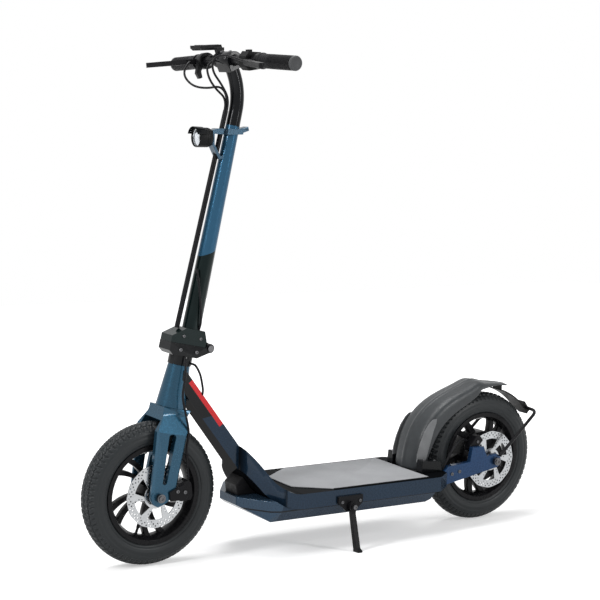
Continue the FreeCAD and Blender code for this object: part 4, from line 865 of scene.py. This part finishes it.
def rotor(name, node, x, y, body):
    """Brake rotor, cut from a flat plate and set in its place on the axle."""
    curve = bpy.data.curves.new(name + "_outline", "CURVE")
    curve.dimensions = "2D"
    curve.fill_mode = "BOTH"
    curve.extrude = (ROTOR_THICK / 2 - ROTOR_CHAMFER) * MM
    curve.bevel_depth = ROTOR_CHAMFER * MM
    curve.bevel_resolution = 0
    for loop in rotor_loops():
        spline = curve.splines.new("POLY")
        spline.points.add(len(loop) - 1)
        spline.use_cyclic_u = True
        for target, (a, b) in zip(spline.points, loop):
            target.co = (a * MM, b * MM, 0, 1)
    flat = bpy.data.objects.new(name + "_outline", curve)
    mesh = bpy.data.meshes.new_from_object(flat)
    centre = at(x, y, TYRE_RADIUS)
    points = [centre + AHEAD * v.co.x + UP * v.co.y + LEFT * v.co.z for v in mesh.vertices]
    faces = [tuple(f.vertices) for f in mesh.polygons]
    bpy.data.objects.remove(flat)
    ground = steel(name + "_ground", at(x, 0, TYRE_RADIUS), rough=0.22)
    sharpen(piece(name, points, faces, ground, body, "steel", [node]), 30)


rotor("front_rotor_disc", "front_rotor", HALF_BASE, 34.0, "front_wheel")
rotor("rear_rotor_disc", "rear_rotor", -HALF_BASE, 55.0, "rear_wheel")

WELL_RADIUS = 92.5
VALVE_ASIDE = 4
VALVE = [  # distance toward the axle, radius
    (-0.5, 4.6), (2, 4.6), (3, 3.0), (14, 2.8), (14.2, 3.6), (15, 3.9), (23, 3.9), (24.4, 3.0), (24.6, 0.0)]


def valve(name, axle, body):
    """Valve stem with its cap, from the rim's well toward the axle."""
    way = (AHEAD * 0.34 + DOWN * 0.94).normalized()
    start = axle + (way * WELL_RADIUS + LEFT * VALVE_ASIDE) * MM
    sharpen(piece(name, *turned(start, -way, VALVE, 24), "plastic", body, "grip_rubber"), 40)


valve("front_valve", front_axle, "front_wheel")
valve("rear_valve", rear_axle, "rear_wheel")


# Grips: smooth hand part, ribbed outer part and a grey end cap

RIBS_LONG = 92
CAP_LONG = 12
FLANGE = [(0, 11.1), (0, 16.2), (0.8, 17.2), (4.2, 17.2), (5.2, 16.0), (6.5, 15.2)]
HAND_START, HAND_PITCH = 8.0, 6.8
HAND = [(0, 15.3), (5.0, 15.3), (5.5, 14.6), (6.2, 14.6)]
RIB_PITCH = 4.4
RIB = [(0, 13.9), (0.6, 15.4), (2.6, 15.4), (3.2, 13.9)]
CAP_GAP = 0.4
CAP_FOOT = [(0, 14.0), (0, 15.0), (0.8, 15.5)]
CAP_END = [(-3.0, 15.5), (-1.0, 14.4), (-0.2, 11.5), (-0.9, 9.0), (-0.9, 0.0)]


def shifted(profile, reach):
    return [(reach + a, radius) for a, radius in profile]


def grip(side):
    """The sleeve from the flange outward, as many ribs as fit, and the cap at the CAD grip's end."""
    start, end, way = axis_of("grip_" + side)
    long = (end - start).length / MM
    profile = list(FLANGE)
    reach = HAND_START
    while reach < long - CAP_LONG:
        shape, pitch = (HAND, HAND_PITCH) if reach < long - RIBS_LONG else (RIB, RIB_PITCH)
        profile += shifted(shape, reach)
        reach += pitch
    profile.append((reach, 14.4))
    sleeve = turned(start, way, profile, 72)
    sharpen(piece("grip_sleeve_" + side, *sleeve, "grip", "stem", "grip_rubber", ["grip_" + side]), 32)
    cap = turned(start, way, shifted(CAP_FOOT, reach + CAP_GAP) + shifted(CAP_END, long), 72)
    sharpen(piece("grip_cap_" + side, *cap, "cap", "stem", "grip_rubber"), 32)


grip("left")
grip("right")


# Head lamp: hollow housing, reflector, light and visor

LAMP_AT = at(320.0, 0, 920.2)
LAMP_HOUSING = [  # distance ahead, radius
    (0, 0.0), (0, 13), (1.2, 16.5), (3.5, 19.2), (7, 20.6), (10, 21), (10.6, 20.2), (12.4, 20.2), (13, 21),
    (15.4, 21), (16, 20.2), (17.8, 20.2), (18.4, 21), (34.6, 21), (36, 20.4), (36, 19.6), (34.6, 19.05),
    (29.4, 19.05), (29.2, 18.9), (13.0, 18.9), (13.0, 0.0)]
LAMP_LIGHT = [(14.9, 0.0), (14.9, 4.6), (19.5, 4.6), (21.5, 3.8), (22.8, 2.2), (23.2, 0.0)]
VISOR = [(22, 21.1), (22, 22.6), (41, 23.4), (43.5, 23.2), (43.5, 22.2), (36, 21.1)]
VISOR_HALF_ANGLE = 1.25
BOWL_BACK = 14.5
BOWL_DEEP = 14.9
BOWL_RIM = 18.7
BOWL_HOLE = 5.2
BOWL_STEPS = 12


def head_lamp():
    """The bowl of the reflector is a parabola from its hole to its rim."""
    housing = turned(LAMP_AT, AHEAD, LAMP_HOUSING, 64)
    sharpen(piece("lamp_housing", *housing, "plastic", "stem", "black_plastic", ["head_lamp"]), 32)
    radii = [BOWL_RIM - (BOWL_RIM - BOWL_HOLE) * i / BOWL_STEPS for i in range(BOWL_STEPS + 1)]
    bowl = [(BOWL_BACK + BOWL_DEEP * (radius / BOWL_RIM) ** 2, radius) for radius in radii]
    bowl.append((BOWL_BACK, 0.0))
    sharpen(piece("lamp_reflector", *turned(LAMP_AT, AHEAD, bowl, 48), "chrome", "stem", "steel"), 40)
    sharpen(piece("lamp_light", *turned(LAMP_AT, AHEAD, LAMP_LIGHT, 32), "light", "stem", "lens"), 50)
    visor = arc_band(LAMP_AT, AHEAD, VISOR_HALF_ANGLE, VISOR)
    sharpen(piece("lamp_visor", *visor, "gloss", "stem", "black_plastic"), 30)


head_lamp()


# Rear fender: one curved shell with a crown ridge, skirts and a pointed tail, and its two side panels

FENDER = [  # ahead, up, half width, skirt's depth
    (-226, 147, 44, 36), (-227.5, 168, 44.5, 38), (-231, 192, 45.5, 42), (-241, 228, 47, 46),
    (-258, 259, 48, 46), (-281, 284, 48, 44), (-312, 306, 48, 41), (-350, 323, 47, 38), (-388, 336, 45, 34),
    (-410, 346, 43, 30), (-426, 350, 41, 24), (-444, 344, 37, 17), (-465, 340, 31, 10), (-490, 338, 25, 7),
    (-515, 334, 18, 6), (-531, 330, 12, 5)]
SKIN = 3.2
DEEP_SKIRT = 18
FULL_SKIRT = 30


def fender_section(half, skirt):
    """Half of a section from the crown down the outside and up the inside: (share of half, height)."""
    drop = min(1.0, skirt / FULL_SKIRT)
    inside = SKIN / half
    deep = skirt > DEEP_SKIRT
    outer = [(0, 0.6), (0.10, 0.0), (0.13, -1.3), (0.45, -2.2 * drop), (0.74, -4.6 * drop),
             (0.93, -9.5 * drop), (1.0, -18 * drop if deep else -skirt * 0.6), (1.0, -skirt * 0.8),
             (1.0, -skirt)]
    inner = [(1.0 - inside, -skirt), (1.0 - inside, -skirt * 0.8),
             (1.0 - inside, -19 * drop if deep else -skirt * 0.7), (0.93 - inside, -9.5 * drop - SKIN),
             (0.70, -4.6 * drop - SKIN), (0.43, -2.2 * drop - SKIN), (0.12, -SKIN - 0.6), (0.0, -SKIN)]
    return outer + inner


def fender_ends(half_count, columns, rows):
    """Faces across the skin at both ends, from the crown down each skirt."""
    faces = []
    for base in (0, (rows - 1) * columns):
        for k in range(half_count // 2):
            strip = dict.fromkeys((k, k + 1, half_count - 2 - k, half_count - 1 - k))
            faces.append([base + n for n in strip])
            faces.append([base + (columns - n) % columns for n in strip])
    return faces


def fender():
    """The sections stand square to the spine, out from the rear axle, and are smoothed together."""
    spine = [Vector((x, 0, z)) for x, z, _, _ in FENDER]
    axle = Vector((-HALF_BASE, 0, TYRE_RADIUS))
    points = []
    for i, (_, _, half, skirt) in enumerate(FENDER):
        way = (spine[min(i + 1, len(spine) - 1)] - spine[max(i - 1, 0)]).normalized()
        out = Vector((-way.z, 0, way.x))
        if out.dot(spine[i] - axle) < 0:
            out = -out
        section = fender_section(half, skirt)
        for y, h in section + [(-y, h) for y, h in reversed(section[1:-1])]:
            spot = spine[i] + out * h
            points.append(at(spot.x, y * half, spot.z))
    columns = len(points) // len(FENDER)
    faces = grid_faces(len(FENDER), columns, closed_rows=False)
    faces += fender_ends(len(section), columns, len(FENDER))
    made = piece("fender_shell", points, faces, "fender", "frame", "fender_plastic", ["rear_fender"])
    smooth = made.modifiers.new("smooth", "SUBSURF")
    smooth.levels = 2
    smooth.render_levels = 2


PANEL = [(-232, 168), (-233, 186), (-240, 212), (-252, 240), (-266, 259), (-276, 267), (-287, 268),
         (-286, 258), (-279, 240), (-274, 222), (-266, 196), (-260, 172)]
PANEL_INNER = 46.5
PANEL_OUTER = 49.6


def fender_side(name, side, replaced=()):
    """The panel on one side of the fender's front end."""
    panel = slab(PANEL, side * PANEL_INNER, side * PANEL_OUTER)
    rounded(piece(name, *panel, "panel", "frame", "fender_plastic", replaced), 1.2)


fender()
fender_side("fender_side_left", 1, ["fender_panels"])
fender_side("fender_side_right", -1)


# Brake hoses that are held all the way, with their clips and sleeves

FIXED_HOSE = 2.5


def hose(name, body, points, clips=()):
    """A hose through the points, with clips of (stretch, share along it, length)."""
    shapes = [tube(points, FIXED_HOSE)]
    for index, share, long in clips:
        a, b = Vector(points[index]), Vector(points[index + 1])
        way = (b - a).normalized()
        shapes.append(turned(a.lerp(b, share) - way * long * MM / 2, way, [
            (0, FIXED_HOSE + 0.2), (0, FIXED_HOSE + 1.3), (long, FIXED_HOSE + 1.3), (long, FIXED_HOSE + 0.2)],
            20))
    sharpen(piece(name, *joined(shapes), "sleeve", body, "grip_rubber"), 40)


hose("front_brake_line", "fork", [
    on_steer(6, 22, 462.5), on_steer(7, 35, 452), on_steer(5, 45, 424), on_steer(3, 48.5, 380),
    on_steer(-12, 49.5, 344), on_steer(-30, 47, 305), on_steer(-34, 46, 268), on_steer(-46, 45, 228),
    on_steer(-54, 44, 206)], clips=[(5, 0.2, 8), (6, 0.4, 6)])
hose("rear_line_stem", "stem", [
    at(352, 12, 640), at(352, 19, 622), at(349, 24, 580), at(347, 26, 545), at(346, 24, 522),
    at(347, 16, 505)], clips=[(1, 0.1, 7)])
hose("rear_line_head", "frame", [
    at(366, 18, 436), at(358, 27, 433), at(349, 32, 415), at(344, 33, 395), at(340, 31, 378),
    at(338, 24, 364)])
hose("rear_brake_line", "frame", [
    at(-382, 44, 205), at(-368, 50, 212), at(-345, 62, 212), at(-322, 69, 196), at(-306, 70, 172),
    at(-296, 66, 150), at(-290, 60, 138)], clips=[(0, 0.3, 9), (3, 0.5, 6)])


# Screws of the fixed parts and of the steered parts

CLAMP_FRONT = (AHEAD * 0.77 + UP * 0.64).normalized()
CLAMP_UP = CLAMP_FRONT.cross(LEFT)
CLAMP_LINES = [("bar_clamp", BAR_AT + (CLAMP_FRONT * 80 + CLAMP_UP * a + LEFT * b) * MM, -CLAMP_FRONT)
               for a in (9, -9) for b in (18, -18)]
SCREWS = [  # piece, body, lines, head's radius and height
    ("hull_screws", "frame", [
        ("deck_hull", at(x, y, 20), UP) for x in range(-200, 151, 70) for y in (-84, 84)], 3.2, 1.2),
    ("foot_screws", "frame", [
        ("fender_feet", at(x, y, 260), DOWN) for x in (-246, -276) for y in (-59, 59)], 3.6, 2.0),
    ("arm_screws", "frame", [
        from_side("rear_arm_" + name, x, z, side) for x, z in ((-318, 138), (-340, 142))
        for name, side in (("left", 1), ("right", -1))], 4.2, 2.6),
    ("stand_screws", "frame", [from_side("stand_bracket", x, 118) for x in (-20, 28)], 3.6, 2.4),
    ("stand_pivot", "frame", [from_side("stand_bracket", 4, 108)], 5.4, 2.6),
    ("front_axle_ends", "fork", [
        from_side("front_axle", HALF_BASE, TYRE_RADIUS, side) for side in (1, -1)], 6.5, 2.6),
    ("rear_axle_ends", "frame", [
        from_side("rear_axle", -HALF_BASE, TYRE_RADIUS, side) for side in (1, -1)], 6.5, 2.6),
    ("fork_screws", "fork", [
        *from_sides_of_steer("fold_base", 18, 475), *from_sides_of_steer("fold_base", -22, 475),
        from_side("front_caliper", 392, 165), from_side("front_caliper", 410, 168)], 4.0, 2.6),
    ("stem_screws", "stem", [
        *from_sides_of_steer("stem", 16, 505), *from_sides_of_steer("stem", -26, 505), *CLAMP_LINES],
        3.4, 2.4),
    ("rear_caliper_screws", "frame", [
        from_side("rear_caliper", -396, 192), from_side("rear_caliper", -402, 206)], 3.6, 2.4),
]
for settings in SCREWS:
    screws(*settings)


# Display glass and buttons, rear reflector

SCREEN_AHEAD = (AHEAD * 0.9962 - UP * 0.0872).normalized()
SCREEN_OUT = (AHEAD * 0.0872 + UP * 0.9962).normalized()
SCREEN = at(292.1, -79, 1117.6)
GLASS_BACK = 3
GLASS_LONG, GLASS_WIDE, GLASS_LOW, GLASS_HIGH = 40, 34, -0.5, 0.7
BUTTON_ROW = 18.5
BUTTON = [(-0.5, 3.6), (0.7, 3.6), (1.1, 3.0), (1.3, 0.0)]
TAIL = at(-760, 0, 266)
REFLECTOR = [
    (-1.0, 12.5), (0.3, 12.5), (0.6, 11.8), (0.6, 11.0), (0.8, 10.6), (1.0, 9.4), (0.7, 7.8), (1.0, 6.2),
    (0.7, 4.4), (1.0, 2.6), (0.8, 0.0)]


def display_parts():
    glass_plate = plate(SCREEN - SCREEN_AHEAD * GLASS_BACK * MM, SCREEN_AHEAD, SCREEN_OUT,
                        GLASS_LONG, GLASS_WIDE, GLASS_LOW, GLASS_HIGH)
    rounded(piece("display_glass", *glass_plate, "screen", "stem", "black_plastic"), 0.5, 3)
    row = SCREEN + SCREEN_AHEAD * BUTTON_ROW * MM
    buttons = joined(turned(row + LEFT * y * MM, SCREEN_OUT, BUTTON, 24) for y in (-12, 0, 12))
    sharpen(piece("display_buttons", *buttons, "cap", "stem", "black_plastic"))


def reflector():
    spot, out = seat("tail_block", TAIL, AHEAD)
    sharpen(piece("rear_reflector", *turned(spot, out, REFLECTOR), "red_lens", "frame", "black_plastic"), 25)


display_parts()
reflector()


# Stage: white floor and world, which light the scene less than they look

WHITE = (1, 1, 1, 1)
WORLD_LIGHT = 0.30
FLOOR_LIGHT = 0.40
FLOOR_NEAR, FLOOR_FAR = 0.9, 2.2


def background_rays(tree):
    """1 for the rays that see the background: camera, glossy and transmission."""
    path = tree.nodes.new("ShaderNodeLightPath")
    seen = path.outputs["Is Camera Ray"]
    for name in ("Is Glossy Ray", "Is Transmission Ray"):
        most = tree.nodes.new("ShaderNodeMath")
        most.operation = "MAXIMUM"
        tree.links.new(seen, most.inputs[0])
        tree.links.new(path.outputs[name], most.inputs[1])
        seen = most.outputs["Value"]
    return seen


def floor():
    """A floor that goes over into the white background away from the object."""
    bpy.ops.mesh.primitive_plane_add(size=14, location=(0, 0, 0))
    made = bpy.context.object
    made.name = "floor"
    look = Look("floor_white")
    look.put(Base_Color=(0.82, 0.82, 0.82, 1), Roughness=0.9, Emission_Color=WHITE)
    far = look.vector("LENGTH", look.place())
    glow = look.ranged(far, FLOOR_NEAR, FLOOR_FAR, FLOOR_LIGHT, 1.0)
    seen = background_rays(look.material.node_tree)
    look.join(look.math("MULTIPLY", seen, glow), look.shader.inputs["Emission Strength"])
    made.data.materials.append(look.material)


def world():
    """White for the rays that see the background, and dimmer as a light."""
    made = bpy.data.worlds.new("studio")
    bpy.context.scene.world = made
    made.use_nodes = True
    tree = made.node_tree
    back = tree.nodes["Background"]
    back.inputs["Color"].default_value = WHITE
    level = tree.nodes.new("ShaderNodeMapRange")
    level.inputs["To Min"].default_value = WORLD_LIGHT
    level.inputs["To Max"].default_value = 1.0
    tree.links.new(background_rays(tree), level.inputs["Value"])
    tree.links.new(level.outputs["Result"], back.inputs["Strength"])


SOFTBOXES = [  # name, place, target, size, power
    ("key_left", (3.0, 0.6, 2.6), (0.1, 0, 0.5), (0.5, 2.0), 72),
    ("fill_right", (-1.6, 3.2, 1.8), (0, 0, 0.4), (0.5, 2.2), 60),
    ("top", (0.2, -0.4, 3.4), (0, 0, 0.3), (2.6, 1.0), 64),
]


def softbox(name, place, target, size, power):
    light = bpy.data.lights.new(name, "AREA")
    light.shape = "RECTANGLE"
    light.size, light.size_y = size
    light.energy = power
    made = bpy.data.objects.new(name, light)
    made.location = place
    made.rotation_euler = (Vector(target) - Vector(place)).to_track_quat("-Z", "Y").to_euler()
    bpy.context.scene.collection.objects.link(made)


CAMERA_AT = Vector((2032.3, 3006.7, 823.4)) * MM
CAMERA_WAY = Vector((-0.53941, -0.83888, -0.07286))
PHOTO_PIXELS = 600
FOCAL_PIXELS = 1612.9
SENSOR = 36


def camera():
    """The photograph's view: fitted distance, height and lens."""
    lens = bpy.data.cameras.new("camera")
    lens.sensor_width = SENSOR
    lens.lens = FOCAL_PIXELS / PHOTO_PIXELS * SENSOR
    made = bpy.data.objects.new("camera", lens)
    made.location = CAMERA_AT
    made.rotation_euler = CAMERA_WAY.to_track_quat("-Z", "Y").to_euler()
    bpy.context.scene.collection.objects.link(made)
    bpy.context.scene.camera = made


floor()
world()
for settings in SOFTBOXES:
    softbox(*settings)
camera()
bpy.context.scene.view_settings.view_transform = "Standard"
